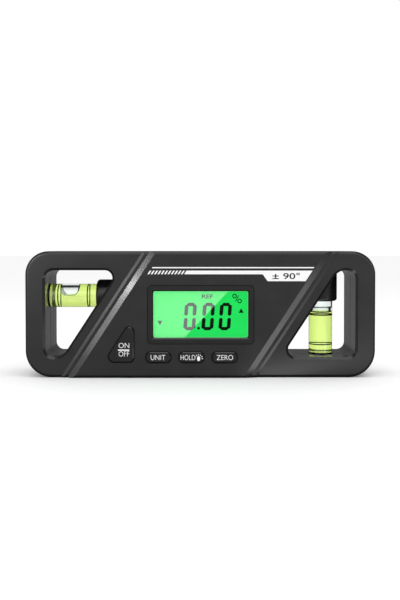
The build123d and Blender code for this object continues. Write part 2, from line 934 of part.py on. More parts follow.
# Cells, side by side with their ends turned opposite ways
for name, side in (("upper", 1), ("lower", -1)):
    along = Plane(
        origin=(
            side * (bay_long / 2 - contact_thick - contact_play),
            cell_y,
            bay_z + side * cell_spacing / 2,
        ),
        z_dir=(-side, 0, 0),
    )
    with BuildPart() as cell:
        with BuildSketch(along):
            Circle(cell_nub_d / 2)
        extrude(amount=cell_nub)
        with BuildSketch(along.offset(cell_nub)):
            Circle(cell_d / 2)
        extrude(amount=cell_length - cell_nub)
    cell.part.label = f"battery_{name}"
    export_step(cell.part, f"parts/battery_{name}.step")

# Sheet contacts: each stands on the bay's floor, with a leg through it to the board and, at a
# cell's flat end, a folded leaf that presses on the cell
for name, (side, middle, tall, leaf_z) in contacts.items():
    face = side * (bay_long / 2 - contact_play)
    root = side * (bay_long / 2 - contact_thick)
    tip = root - side * leaf_reach
    with BuildPart() as plate:
        with BuildSketch(Plane(origin=(face, 0, 0), x_dir=(0, 1, 0), z_dir=(-side, 0, 0))):
            with Locations((bay_floor + contact_play + contact_deep / 2, -side * middle)):
                Rectangle(contact_deep, tall)
            with Locations((-board_back, -side * middle)):
                Rectangle(
                    board_back + bay_floor + wall, leg_width, align=(Align.MIN, Align.CENTER)
                )
        extrude(amount=contact_thick - contact_play)
        if leaf_z is not None:
            with BuildSketch(Plane.XY.offset(leaf_z - leaf_width / 2)):
                with BuildLine():
                    Polyline(
                        (root, cell_y - leaf_foot),
                        (tip, cell_y - leaf_flat),
                        (tip, cell_y + leaf_flat),
                        (root, cell_y + leaf_foot),
                        close=True,
                    )
                make_face()
                with BuildLine():
                    Polyline(
                        (root, cell_y - leaf_foot + 2 * leaf_thick),
                        (tip + side * leaf_thick, cell_y - leaf_flat + leaf_thick / 2),
                        (tip + side * leaf_thick, cell_y + leaf_flat - leaf_thick / 2),
                        (root, cell_y + leaf_foot - 2 * leaf_thick),
                        close=True,
                    )
                make_face(mode=Mode.SUBTRACT)
            extrude(amount=leaf_width)
    plate.part.label = name
    export_step(plate.part, f"parts/{name}.step")

# Screws and magnets
with BuildPart() as case_screws:
    with BuildSketch(front_plane.offset(-screw_seat)):
        with Locations(*case_screws_at):
            Circle(screw_head_d / 2)
    extrude(amount=-screw_head)
    with BuildSketch(front_plane.offset(-screw_seat)):
        with Locations(*case_screws_at):
            Circle(screw_d / 2)
    extrude(amount=screw_length)

case_screws.part.label = "case_screws"
export_step(case_screws.part, "parts/case_screws.step")

with BuildPart() as base_magnets:
    with BuildSketch(Plane.XY.offset(magnet_sink)):
        for x in magnets_at:
            with Locations((x, 0)):
                Rectangle(magnet_long, magnet_wide)
    extrude(amount=magnet_thick)

base_magnets.part.label = "base_magnets"
export_step(base_magnets.part, "parts/base_magnets.step")
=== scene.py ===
"""Digital pocket level: finishes, markings and studio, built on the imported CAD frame.

Everything is in metres in the CAD's own frame: X runs along the level, the display faces -Y, Z is up
and the level stands on the floor at Z = 0.
"""
from __future__ import annotations

import logging
import math
from collections.abc import Callable, Iterator, Sequence
from contextlib import contextmanager
from dataclasses import dataclass, field
from enum import Enum

import bmesh
import bpy
from mathutils import Matrix, Vector

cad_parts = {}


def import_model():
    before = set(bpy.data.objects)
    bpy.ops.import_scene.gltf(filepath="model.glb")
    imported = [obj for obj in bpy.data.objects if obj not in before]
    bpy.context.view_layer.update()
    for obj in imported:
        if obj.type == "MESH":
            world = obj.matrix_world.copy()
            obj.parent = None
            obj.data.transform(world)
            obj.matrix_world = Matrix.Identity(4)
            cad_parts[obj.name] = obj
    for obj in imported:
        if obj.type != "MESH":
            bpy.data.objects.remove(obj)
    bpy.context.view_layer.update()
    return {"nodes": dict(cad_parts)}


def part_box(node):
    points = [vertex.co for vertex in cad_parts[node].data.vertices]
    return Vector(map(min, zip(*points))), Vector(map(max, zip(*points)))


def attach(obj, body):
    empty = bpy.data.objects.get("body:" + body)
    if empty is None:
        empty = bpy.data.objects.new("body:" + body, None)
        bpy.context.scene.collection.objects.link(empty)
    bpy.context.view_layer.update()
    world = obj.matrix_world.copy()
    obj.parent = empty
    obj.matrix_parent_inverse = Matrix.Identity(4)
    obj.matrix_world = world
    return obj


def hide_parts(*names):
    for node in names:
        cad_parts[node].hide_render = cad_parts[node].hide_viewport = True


MM = 0.001
TINY = 0.001 * MM
HOUSING = "housing"
PANEL_LEAN = 0.653
ALONG = 0.99
RING_PLAY = 0.04 * MM
SMOOTH_ANGLE = 35.0
ROUND_SEGMENTS = 6
BLACK = (0.0, 0.0, 0.0)
TO_FRONT = Matrix.Rotation(math.pi / 2, 4, "X")
Triple = tuple[float, float, float]
Pair = tuple[float, float]
Edges = tuple[float, float, float, float]
Socket = bpy.types.NodeSocket
Sockets = dict[str | int, object]
Piece = bpy.types.Object
Test = Callable[[object], bool]

log = logging.getLogger("pocket_level")


class Slot(Enum):
    """The part record's material slots, passed along with new pieces."""

    BODY = "body_black"
    CAP = "cap_black"
    DISPLAY = "display_green"
    VIAL = "vial_clear"
    FLUID = "vial_fluid"
    CUP = "cup_black"
    SCREW = "screw_steel"


def operator(operation: str, flipped: bool = False) -> Callable[[Value, Value | float], Value]:
    """Makes an operator of Value that adds one Math node.

    Args:
        operation: The node's operation.
        flipped: Whether the other term comes first.

    Returns:
        The operator.
    """

    def apply(value: Value, other: Value | float) -> Value:
        """Adds the node."""
        terms = (other, value) if flipped else (value, other)
        return value.computed(operation, *terms)

    return apply


class Value:
    """A number that changes over a surface. Arithmetic on it adds Math nodes."""

    __add__ = operator("ADD")
    __sub__ = operator("SUBTRACT")
    __rsub__ = operator("SUBTRACT", flipped=True)
    __mul__ = operator("MULTIPLY")
    __gt__ = operator("GREATER_THAN")
    __lt__ = operator("LESS_THAN")
    __mod__ = operator("FLOORED_MODULO")

    def __init__(self, graph: Graph, socket: Socket) -> None:
        """Wraps an output socket of a graph that holds a number."""
        self.graph = graph
        self.socket = socket

    def computed(self, operation: str, *terms: Value | float) -> Value:
        """Adds one Math node.

        Args:
            operation: The node's operation.
            terms: Its inputs in order.

        Returns:
            The result.
        """
        node = self.graph.add("Math", {"operation": operation}, dict(enumerate(terms)))
        return Value(self.graph, node.outputs[0])

    def distance(self, other: float) -> Value:
        """Distance from a number."""
        return self.computed("ABSOLUTE", self - other)

    def root(self) -> Value:
        """Square root."""
        return self.computed("SQRT", self)

    def above_zero(self) -> Value:
        """The value, or 0 where it is negative."""
        return self.computed("MAXIMUM", self, 0.0)

    def clamped(self) -> Value:
        """The value kept between 0 and 1."""
        return self.computed("MINIMUM", self.above_zero(), 1.0)

    def mapped(self, low: float, high: float, to_low: float = 0.0, to_high: float = 1.0) -> Value:
        """The value carried from one range to another, and kept in it.

        Args:
            low: Start of the first range.
            high: End of the first range.
            to_low: Start of the second range.
            to_high: End of the second range.

        Returns:
            The carried value.
        """
        inputs = {"Value": self, "From Min": low, "From Max": high}
        inputs |= {"To Min": to_low, "To Max": to_high}
        node = self.graph.add("MapRange", {"clamp": True}, inputs)
        return Value(self.graph, node.outputs["Result"])


class Graph:
    """The nodes of one material or of the world."""

    def __init__(self, block: bpy.types.Material | bpy.types.World) -> None:
        """Empties a new block's node tree and keeps it.

        Args:
            block: The material or world.
        """
        block.use_nodes = True
        self.tree = block.node_tree
        self.tree.nodes.clear()

    def add(
        self, kind: str, settings: Sockets | None = None, inputs: Sockets | None = None
    ) -> bpy.types.Node:
        """Adds one node.

        Args:
            kind: The node's type, without the ShaderNode in front.
            settings: Its properties.
            inputs: For each socket, by name or number, a constant, a socket or a Value.

        Returns:
            The node.
        """
        node = self.tree.nodes.new(f"ShaderNode{kind}")
        for key, setting in (settings or {}).items():
            setattr(node, key, setting)
        for key, given in (inputs or {}).items():
            source = given.socket if isinstance(given, Value) else given
            if isinstance(source, Socket):
                self.tree.links.new(source, node.inputs[key])
            else:
                node.inputs[key].default_value = source
        return node

    def parts(self, output: str) -> tuple[Value, ...]:
        """X, Y and Z of a texture coordinate.

        Args:
            output: Object for the place in metres, Normal or Generated.

        Returns:
            The three numbers.
        """
        vector = self.add("TexCoord").outputs[output]
        split = self.add("SeparateXYZ", inputs={"Vector": vector})
        return tuple(Value(self, out) for out in split.outputs)

    def rays(self) -> tuple[Value, ...]:
        """Whether a camera, a transmission or a glossy ray meets the surface.

        Returns:
            For each of them 1 or 0.
        """
        path = self.add("LightPath").outputs
        kinds = ("Camera", "Transmission", "Glossy")
        return tuple(Value(self, path[f"Is {kind} Ray"]) for kind in kinds)

    def slant(self) -> Value:
        """0 where the surface is seen straight on, 1 where it is seen along itself."""
        return Value(self, self.add("LayerWeight").outputs["Facing"])

    def noise(self, size: float, detail: float = 2.0, stretch: Triple = (1, 1, 1)) -> Value:
        """Soft noise on Object coordinates.

        Args:
            size: The size of its blotches in metres.
            detail: Its octaves.
            stretch: Its scale along each axis.

        Returns:
            The noise, from 0 to 1.
        """
        where = self.add("TexCoord").outputs["Object"]
        mapped = self.add("Mapping", inputs={"Vector": where, "Scale": stretch})
        inputs = {"Vector": mapped.outputs[0], "Scale": 1 / size, "Detail": detail}
        node = self.add("TexNoise", {"noise_dimensions": "3D"}, inputs)
        return Value(self, node.outputs["Fac"])

    def mix(self, factor: Value | float, first: object, second: object) -> Socket:
        """Mixes two colours.

        Args:
            factor: 0 gives the first and 1 the second.
            first: A colour or a colour socket.
            second: A colour or a colour socket.

        Returns:
            The mixed colour.
        """
        settings = {"data_type": "RGBA", "clamp_factor": True}
        inputs = {0: factor, 6: self.rgba(first), 7: self.rgba(second)}
        return self.add("Mix", settings, inputs).outputs[2]

    def stained(self, factor: Value, colour: Triple, share: float) -> Socket:
        """A colour that turns to a share of itself as the factor goes to 1."""
        return self.mix(factor, colour, tuple(share * part for part in colour))

    @staticmethod
    def rgba(colour: object) -> object:
        """A plain colour with its alpha, or the socket as it is."""
        return colour if isinstance(colour, Socket) else (*colour, 1.0)

    def bump(self, height: Value, distance: float) -> Socket:
        """A normal from a height, where 1 stands for a distance in metres."""
        inputs = {"Height": height, "Distance": distance, "Strength": 1.0}
        return self.add("Bump", inputs=inputs).outputs["Normal"]

    def end(self, kind: str, shader: bpy.types.Node) -> None:
        """Ends the graph of a Material or a World in a shader."""
        self.add(f"Output{kind}", inputs={"Surface": shader.outputs[0]})


@dataclass(frozen=True)
class Finish:
    """A named material. Each kind says what its Principled shader is given."""

    name: str

    def sockets(self, graph: Graph) -> Sockets:
        """The shader's sockets and their values.

        Args:
            graph: The material's graph.

        Returns:
            For each socket a constant, a socket or a Value.
        """
        raise NotImplementedError

    def material(self) -> bpy.types.Material:
        """Makes the material.

        Returns:
            The material.
        """
        made = bpy.data.materials.new(self.name)
        graph = Graph(made)
        graph.end("Material", graph.add("BsdfPrincipled", inputs=self.sockets(graph)))
        return made


@dataclass(frozen=True)
class MouldedPlastic(Finish):
    """Moulded plastic: satin faces with a fine grain and flow marks, and glossier slanted faces."""

    colour: Triple
    roughness: float = 0.42
    polished: float = 0.26
    dull_bands: bool = False
    specular: float = 0.5
    grain: float = 0.22 * MM
    grain_depth: float = 0.004 * MM
    grain_play: float = 0.02
    flow: float = 14 * MM
    flow_play: float = 0.03
    lighter: float = 1.3
    slanted: float = 0.95
    flat: float = 0.985
    band_height: float = 28.8 * MM
    band_start: float = 42.2 * MM
    band_end: float = 47.5 * MM
    band_back: float = -11.9 * MM
    band_dull: float = 0.85

    def polish(self, graph: Graph) -> Value:
        """1 on faces that slant or run from front to back, except in a dull band beside each strut.

        Args:
            graph: The material's graph.

        Returns:
            The polish.
        """
        facing = graph.parts("Normal")[1].distance(0.0)
        polish = facing.mapped(self.slanted, self.flat, 1.0, 0.0)
        if self.dull_bands:
            x, y, z = graph.parts("Object")
            across = (x - (z - self.band_height) * PANEL_LEAN).distance(0.0)
            dull = (across > self.band_start) * (across < self.band_end) * (y < self.band_back)
            polish = polish * (1 - dull * self.band_dull)
        return polish

    def sockets(self, graph: Graph) -> Sockets:
        """See base class."""
        flow = graph.noise(self.flow, 3.0, (1.0, 1.0, 1.6))
        fine = graph.noise(self.grain, 1.0)
        satin = flow.mapped(0.3, 0.7, self.roughness - self.flow_play, self.roughness + self.flow_play)
        uneven = fine.mapped(0.3, 0.7, -self.grain_play, self.grain_play)
        return {
            "Base Color": graph.stained(flow.mapped(0.3, 0.7), self.colour, self.lighter),
            "Roughness": satin + uneven - self.polish(graph) * (self.roughness - self.polished),
            "Specular IOR Level": self.specular,
            "Normal": graph.bump(fine, self.grain_depth),
        }


@dataclass(frozen=True)
class ClearPlastic(Finish):
    """Clear polished plastic or liquid, which may take painted shade: another colour where it is seen at
    a slant.
    """

    colour: Triple
    ior: float = 1.49
    edge: Triple | None = None
    painted_shade_start: float = 0.45
    painted_shade_full: float = 0.85
    haze: float = 0.004
    cloud: float = 3 * MM

    def sockets(self, graph: Graph) -> Sockets:
        """See base class."""
        slanted = graph.slant().mapped(self.painted_shade_start, self.painted_shade_full)
        return {
            # painted shade: the second colour takes over where the surface is seen at a slant
            "Base Color": graph.mix(slanted, self.colour, self.edge or self.colour),
            "Roughness": graph.noise(self.cloud).mapped(0.4, 0.7, 0.0, self.haze),
            "IOR": self.ior,
            "Transmission Weight": 1.0,
        }


@dataclass(frozen=True)
class WindowSheet(Finish):
    """Thin clear window under a gloss, with a painted glare: pale on the left of a slanted line."""

    cover: float = 0.125
    roughness: float = 0.03
    rougher: float = 1.3
    cloud: float = 3 * MM
    painted_glare: Triple = (0.90, 0.92, 0.95)
    line_x: float = -7.27 * MM
    line_z: float = 18.2 * MM
    line_lean: float = 0.948

    def sockets(self, graph: Graph) -> Sockets:
        """See base class."""
        x, _, z = graph.parts("Object")
        # painted glare: left of this slanted line the window takes a pale colour that stands in for a
        # reflection
        painted_glare_side = x < (z - self.line_z) * self.line_lean + self.line_x
        cloud = graph.noise(self.cloud)
        return {
            "Base Color": graph.mix(painted_glare_side, BLACK, self.painted_glare),
            "Roughness": cloud.mapped(0.4, 0.7, self.roughness, self.rougher * self.roughness),
            "Alpha": self.cover,
        }


@dataclass(frozen=True)
class PaintedShadeFilm(Finish):
    """A film of painted shade that shows only where it is seen at a slant."""

    colour: Triple
    start: float = 0.35
    full: float = 0.75
    most: float = 0.85

    def sockets(self, graph: Graph) -> Sockets:
        """See base class."""
        return {
            "Base Color": (*self.colour, 1.0),
            "Roughness": 0.5,
            "Specular IOR Level": 0.0,
            "Alpha": graph.slant().mapped(self.start, self.full, 0.0, self.most),
        }


@dataclass(frozen=True)
class PlatedMetal(Finish):
    """Rolled or turned metal with fine lines along one axis."""

    colour: Triple
    roughness: float = 0.28
    line: float = 0.15 * MM
    line_depth: float = 0.002 * MM
    along: Triple = (0.05, 1.0, 1.0)
    stain: float = 2.5 * MM
    darker: float = 0.8

    def sockets(self, graph: Graph) -> Sockets:
        """See base class."""
        lines = graph.noise(self.line, 2.0, self.along)
        stain = graph.noise(self.stain, 3.0).mapped(0.4, 0.75)
        return {
            "Base Color": graph.stained(stain, self.colour, self.darker),
            "Metallic": 1.0,
            "Roughness": lines.mapped(0.2, 0.8, self.roughness - 0.06, self.roughness + 0.1),
            "Normal": graph.bump(lines, self.line_depth),
        }


@dataclass(frozen=True)
class Paint(Finish):
    """Screen-printed ink, slightly uneven and matt."""

    colour: Triple
    roughness: float = 0.55
    specular: float = 0.3
    play: float = 0.08
    dot: float = 0.12 * MM
    worn: float = 0.86

    def sockets(self, graph: Graph) -> Sockets:
        """See base class."""
        dots = graph.noise(self.dot)
        return {
            "Base Color": graph.stained(dots.mapped(0.5, 0.8), self.colour, self.worn),
            "Roughness": dots.mapped(0.2, 0.8, self.roughness - self.play, self.roughness + self.play),
            "Specular IOR Level": self.specular,
        }


@dataclass(frozen=True)
class BacklitGlass(Finish):
    """The lit face of the display: a field with round corners, brighter at its rim, in a dark border."""

    colour: Triple
    low: Vector
    high: Vector
    corner: float = 0.9 * MM
    rim: float = 0.4 * MM
    rim_most: float = 0.4
    pale: float = 0.4
    dim: float = 0.95
    cloud: float = 9 * MM
    border: Triple = (0.003, 0.004, 0.003)
    darkening: float = 0.55
    specular: float = 0.05
    glow: float = 1.08

    def sockets(self, graph: Graph) -> Sockets:
        """See base class."""
        x, _, z = graph.parts("Object")
        middle = (self.low + self.high) / 2
        half = (self.high - self.low) / 2
        across = (x.distance(middle.x) - (half.x - self.corner)).above_zero()
        up = (z.distance(middle.z) - (half.z - self.corner)).above_zero()
        reach = (across * across + up * up).root()
        rim = reach.mapped(self.corner - self.rim, self.corner, 0.0, self.rim_most)
        cloud = graph.noise(self.cloud)
        pale = tuple((1 - self.pale) * part + self.pale for part in self.colour)
        even = graph.stained(cloud.mapped(0.35, 0.65), self.colour, self.dim)
        lit = graph.mix(reach > self.corner, graph.mix(rim, even, pale), self.border)
        return {
            "Base Color": graph.mix(self.darkening, lit, BLACK),
            "Roughness": cloud.mapped(0.3, 0.7, 0.3, 0.4),
            "Specular IOR Level": self.specular,
            "Emission Color": lit,
            "Emission Strength": self.glow,
        }


@dataclass(frozen=True)
class SolderMask(Finish):
    """Circuit board: green mask over copper tracks, with bare pads."""

    mask: Triple = (0.010, 0.085, 0.032)
    track: Triple = (0.022, 0.150, 0.055)
    pad: Triple = (0.62, 0.60, 0.55)
    pitch: float = 1.27 * MM
    pitches_between_rows: int = 6
    pitches_between_tracks: int = 4
    pad_reach: Pair = (0.18, 0.25)
    track_wide: float = 0.07
    copper_high: float = 0.03 * MM

    def sockets(self, graph: Graph) -> Sockets:
        """See base class."""
        x, _, z = graph.parts("Object")
        where = graph.add("TexCoord").outputs["Object"]
        scale = 1 / (self.pitches_between_tracks * self.pitch)
        inputs = {"Vector": where, "Scale": scale, "Randomness": 0.9}
        cells = graph.add("TexVoronoi", {"feature": "DISTANCE_TO_EDGE"}, inputs)
        tracks = Value(graph, cells.outputs["Distance"]) < self.track_wide
        rows = self.pitches_between_rows * self.pitch
        column = (x % self.pitch).distance(self.pitch / 2) < self.pad_reach[0] * self.pitch
        row = (z % rows).distance(rows / 2) < self.pad_reach[1] * self.pitch
        pads = column * row
        return {
            "Base Color": graph.mix(pads, graph.mix(tracks, self.mask, self.track), self.pad),
            "Metallic": pads * 0.9,
            "Roughness": 0.32 - pads * 0.06,
            "Normal": graph.bump(tracks + pads, self.copper_high),
        }


@dataclass(frozen=True)
class CellSleeve(Finish):
    """Printed sleeve of a small cell, with a coloured band towards its nub."""

    foot: float
    nub: float
    sleeve: Triple = (0.035, 0.037, 0.042)
    band: Triple = (0.52, 0.33, 0.06)
    metal: Triple = (0.70, 0.69, 0.66)
    sleeve_share: Pair = (0.02, 0.965)
    line_share: float = 0.68
    line_half: float = 0.006
    band_share: float = 0.70
    scuff: float = 1.2 * MM

    def sockets(self, graph: Graph) -> Sockets:
        """See base class."""
        share = graph.parts("Object")[0].mapped(self.foot, self.nub)
        first, last = self.sleeve_share
        bare = ((share < first) + (share > last)).clamped()
        line = share.distance(self.line_share) < self.line_half
        printed = graph.mix(share > self.band_share, self.sleeve, self.band)
        printed = graph.mix(line, printed, self.metal)
        return {
            "Base Color": graph.mix(bare, printed, self.metal),
            "Metallic": bare,
            "Roughness": graph.noise(self.scuff, 3.0).mapped(0.3, 0.8, 0.26, 0.42),
        }


WHITE_INK = Paint("print_white", (0.94, 0.94, 0.94))
DARK_INK = Paint("print_dark", (0.012, 0.012, 0.013))
SEGMENT_INK = Paint("segment_black", (0.005, 0.009, 0.006), 0.4, 0.05)
RING_INK = Paint("ring_green_black", (0.008, 0.015, 0.006))
ACRYLIC = ClearPlastic("vial_acrylic", (0.97, 1.0, 0.98))
# the liquid's darker second colour is painted shade at its slanted edges and round the bubble
SPIRIT = ClearPlastic("spirit_green", (0.79, 0.95, 0.26), 1.37, (0.30, 0.48, 0.22))
# painted shade: a dark film round the bubble's outline
PAINTED_BUBBLE_SHADE = PaintedShadeFilm("bubble_painted_shade", (0.035, 0.06, 0.035))
CUP_PLASTIC = MouldedPlastic("cup_black", (0.006, 0.006, 0.0065), 0.30)


class Bench:
    """Modelling steps, each one of Blender's own operators on one selected piece."""

    @staticmethod
    def clear_selection() -> None:
        """Leaves edit mode and deselects everything."""
        active = bpy.context.view_layer.objects.active
        if active is not None and active.mode != "OBJECT":
            bpy.ops.object.mode_set(mode="OBJECT")
        bpy.ops.object.select_all(action="DESELECT")

    @staticmethod
    def activate(piece: Piece) -> None:
        """Selects one piece and makes it active.

        Args:
            piece: The piece.
        """
        Bench.clear_selection()
        piece.select_set(True)
        bpy.context.view_layer.objects.active = piece

    @staticmethod
    def settle(name: str) -> Piece:
        """Names the new active piece and puts its place, turn and size into its mesh.

        Args:
            name: The piece's name.

        Returns:
            The piece.
        """
        piece = bpy.context.view_layer.objects.active
        bpy.ops.object.transform_apply(location=True, rotation=True, scale=True)
        piece.name = name
        piece.data.name = name
        return piece

    @staticmethod
    @contextmanager
    def picked(piece: Piece, kind: str, test: Test) -> Iterator[None]:
        """Selects the elements that pass a test for the steps inside it, in edit mode.

        Args:
            piece: The piece to edit.
            kind: VERT, EDGE or FACE.
            test: Says of an element whether it is selected.
        """
        Bench.activate(piece)
        bpy.ops.object.mode_set(mode="EDIT")
        bpy.ops.mesh.select_mode(type=kind)
        bpy.ops.mesh.select_all(action="DESELECT")
        mesh = bmesh.from_edit_mesh(piece.data)
        elements = {"VERT": mesh.verts, "EDGE": mesh.edges, "FACE": mesh.faces}[kind]
        for element in elements:
            if test(element):
                element.select_set(True)
        mesh.select_flush_mode()
        bmesh.update_edit_mesh(piece.data)
        yield
        bpy.ops.object.mode_set(mode="OBJECT")

    @staticmethod
    def at_level(level: float) -> Test:
        """A test for faces whose middle lies at some Z."""
        return lambda face: abs(face.calc_center_median().z - level) < TINY

    @staticmethod
    def runs_along_y(edge: bmesh.types.BMEdge) -> bool:
        """Whether an edge runs along Y."""
        return abs((edge.verts[1].co - edge.verts[0].co).normalized().y) > ALONG

    @staticmethod
    def off_round(edge: bmesh.types.BMEdge, radius: float) -> float:
        """How far the ends of an edge are off a radius at most."""
        return max(abs(end.co.xy.length - radius) for end in edge.verts)

    @staticmethod
    def open_rim(radius: float) -> Test:
        """A test for open edges at some radius."""
        return lambda edge: edge.is_boundary and Bench.off_round(edge, radius) < RING_PLAY

    @staticmethod
    def carry(piece: Piece, *steps: Matrix) -> Piece:
        """Puts a piece's mesh through turns and shifts in order.

        Args:
            piece: The piece.
            steps: What its mesh goes through.

        Returns:
            The same piece.
        """
        for step in steps:
            piece.data.transform(step)
        return piece

    @staticmethod
    def block(name: str, low: Vector, high: Vector) -> Piece:
        """A box between its lowest and its highest corner.

        Args:
            name: The piece's name.
            low: Its lowest corner.
            high: Its highest corner.

        Returns:
            The piece.
        """
        Bench.clear_selection()
        bpy.ops.mesh.primitive_cube_add(size=1.0, location=(low + high) / 2, scale=high - low)
        return Bench.settle(name)

    @staticmethod
    def corners(
        left: float, right: float, low: float, high: float, front: float, back: float
    ) -> tuple[Vector, Vector]:
        """The lowest and the highest corner of a box between its edges, its front and its back."""
        return Vector((left, front, low)), Vector((right, back, high))

    @staticmethod
    def rod(name: str, radius: float, low: float, high: float, sides: int = 96) -> Piece:
        """A round rod along Z.

        Args:
            name: The piece's name.
            radius: Its radius.
            low: Its lower end's Z.
            high: Its upper end's Z.
            sides: The number of its sides.

        Returns:
            The piece.
        """
        Bench.clear_selection()
        bpy.ops.mesh.primitive_cylinder_add(
            vertices=sides, radius=radius, depth=high - low, location=(0, 0, (low + high) / 2)
        )
        return Bench.settle(name)

    @staticmethod
    def sink(piece: Piece, level: float, border: float, shift: float) -> None:
        """Insets the flat end of a rod and pushes its middle in or out.

        Args:
            piece: The rod.
            level: Z of its end.
            border: Width of the rim that is left.
            shift: How far the middle moves along Z.
        """
        with Bench.picked(piece, "FACE", Bench.at_level(level)):
            bpy.ops.mesh.inset(thickness=border)
            bpy.ops.mesh.extrude_region_move(TRANSFORM_OT_translate={"value": (0.0, 0.0, shift)})

    @staticmethod
    def bevel(piece: Piece, test: Test, width: float, segments: int = 1) -> None:
        """Bevels the edges that pass a test.

        Args:
            piece: The piece.
            test: Says of an edge whether it is bevelled.
            width: Width of the bevel.
            segments: Its segments.
        """
        with Bench.picked(piece, "EDGE", test):
            bpy.ops.mesh.bevel(offset=width, segments=segments, affect="EDGES")

    @staticmethod
    def round_ring(piece: Piece, level: float, radius: float, width: float) -> None:
        """Rounds the circular edge of a rod at one level.

        Args:
            piece: The rod.
            level: Z of the edge.
            radius: The edge's radius.
            width: Width of the rounding.
        """

        def on_ring(edge: bmesh.types.BMEdge) -> bool:
            """Whether both ends of an edge lie on the ring."""
            level_with = all(abs(end.co.z - level) < TINY for end in edge.verts)
            return level_with and Bench.off_round(edge, radius) < RING_PLAY

        Bench.bevel(piece, on_ring, width, ROUND_SEGMENTS)

    @staticmethod
    def cut(piece: Piece, cutter: Piece, operation: str = "DIFFERENCE") -> None:
        """Takes a piece out of another and clears it away.

        Args:
            piece: The piece that stays.
            cutter: The piece that is cleared away.
            operation: DIFFERENCE, or INTERSECT to keep only what both share.
        """
        Bench.activate(piece)
        bpy.ops.object.modifier_add(type="BOOLEAN")
        step = piece.modifiers[0]
        step.operation = operation
        step.solver = "EXACT"
        step.object = cutter
        bpy.ops.object.modifier_apply(modifier=step.name)
        bpy.data.objects.remove(cutter)

    @staticmethod
    def smooth(piece: Piece) -> Piece:
        """Smooths the shading over all but the sharp edges.

        Args:
            piece: The piece.

        Returns:
            The same piece.
        """
        Bench.activate(piece)
        bpy.ops.object.shade_smooth_by_angle(angle=math.radians(SMOOTH_ANGLE))
        return piece

    @staticmethod
    def join(name: str, pieces: Sequence[Piece]) -> Piece:
        """Joins pieces to one.

        Args:
            name: The new piece's name.
            pieces: What it is made of.

        Returns:
            The piece.
        """
        Bench.activate(pieces[0])
        for piece in pieces[1:]:
            piece.select_set(True)
        bpy.ops.object.join()
        return Bench.settle(name)

    @staticmethod
    def lettering(name: str, text: str, low: Vector, high: Vector, bold: float) -> Piece:
        """Raised letters that face -Y and fill a box.

        Args:
            name: The piece's name.
            text: The letters.
            low: The box's lowest corner; its Y is the face of the letters.
            high: The box's highest corner; its Y is the back of the letters.
            bold: How much the strokes are widened, as a share of the letters' height.

        Returns:
            The piece.
        """
        Bench.clear_selection()
        bpy.ops.object.text_add(rotation=(math.pi / 2, 0, 0))
        letters = bpy.context.object.data
        letters.body = text
        letters.align_x = "CENTER"
        letters.align_y = "CENTER"
        letters.extrude = 0.5
        letters.offset = bold
        letters.resolution_u = 6
        bpy.ops.object.convert(target="MESH")
        piece = Bench.settle(name)
        corners = [vertex.co for vertex in piece.data.vertices]
        first = Vector(min(corner[axis] for corner in corners) for axis in range(3))
        last = Vector(max(corner[axis] for corner in corners) for axis in range(3))
        scale = Vector((high - low)[axis] / (last - first)[axis] for axis in range(3))
        piece.scale = scale
        piece.location = low - first * scale
        Bench.activate(piece)
        return Bench.settle(name)


@dataclass
class Workshop:
    """What the sub-assemblies share: the frame's nodes and the materials made so far."""

    nodes: dict[str, Piece]
    made: dict[str, bpy.types.Material] = field(default_factory=dict)

    def coat(self, piece: Piece, finish: Finish) -> None:
        """Gives a piece one finish, whose material is made once.

        Args:
            piece: The piece.
            finish: Its finish.
        """
        if finish.name not in self.made:
            self.made[finish.name] = finish.material()
        piece.data.materials.clear()
        piece.data.materials.append(self.made[finish.name])
        log.info("%s: %s", piece.name, finish.name)

    def dress(self, finish: Finish, *names: str) -> None:
        """Gives CAD nodes their finish."""
        for name in names:
            self.coat(self.nodes[name], finish)

    def seat(self, piece: Piece, body: str, slot: Slot, finish: Finish, *instead_of: str) -> None:
        """Finishes a new piece.

        Args:
            piece: The piece.
            body: The CAD body that it moves with.
            slot: The record's slot of its finish; not used.
            finish: Its finish.
            instead_of: CAD nodes that it replaces.
        """
        self.coat(piece, finish)
        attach(piece, body)
        if instead_of:
            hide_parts(*instead_of)

    @staticmethod
    def face(node: str) -> float:
        """Y of a CAD node's front."""
        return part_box(node)[0].y


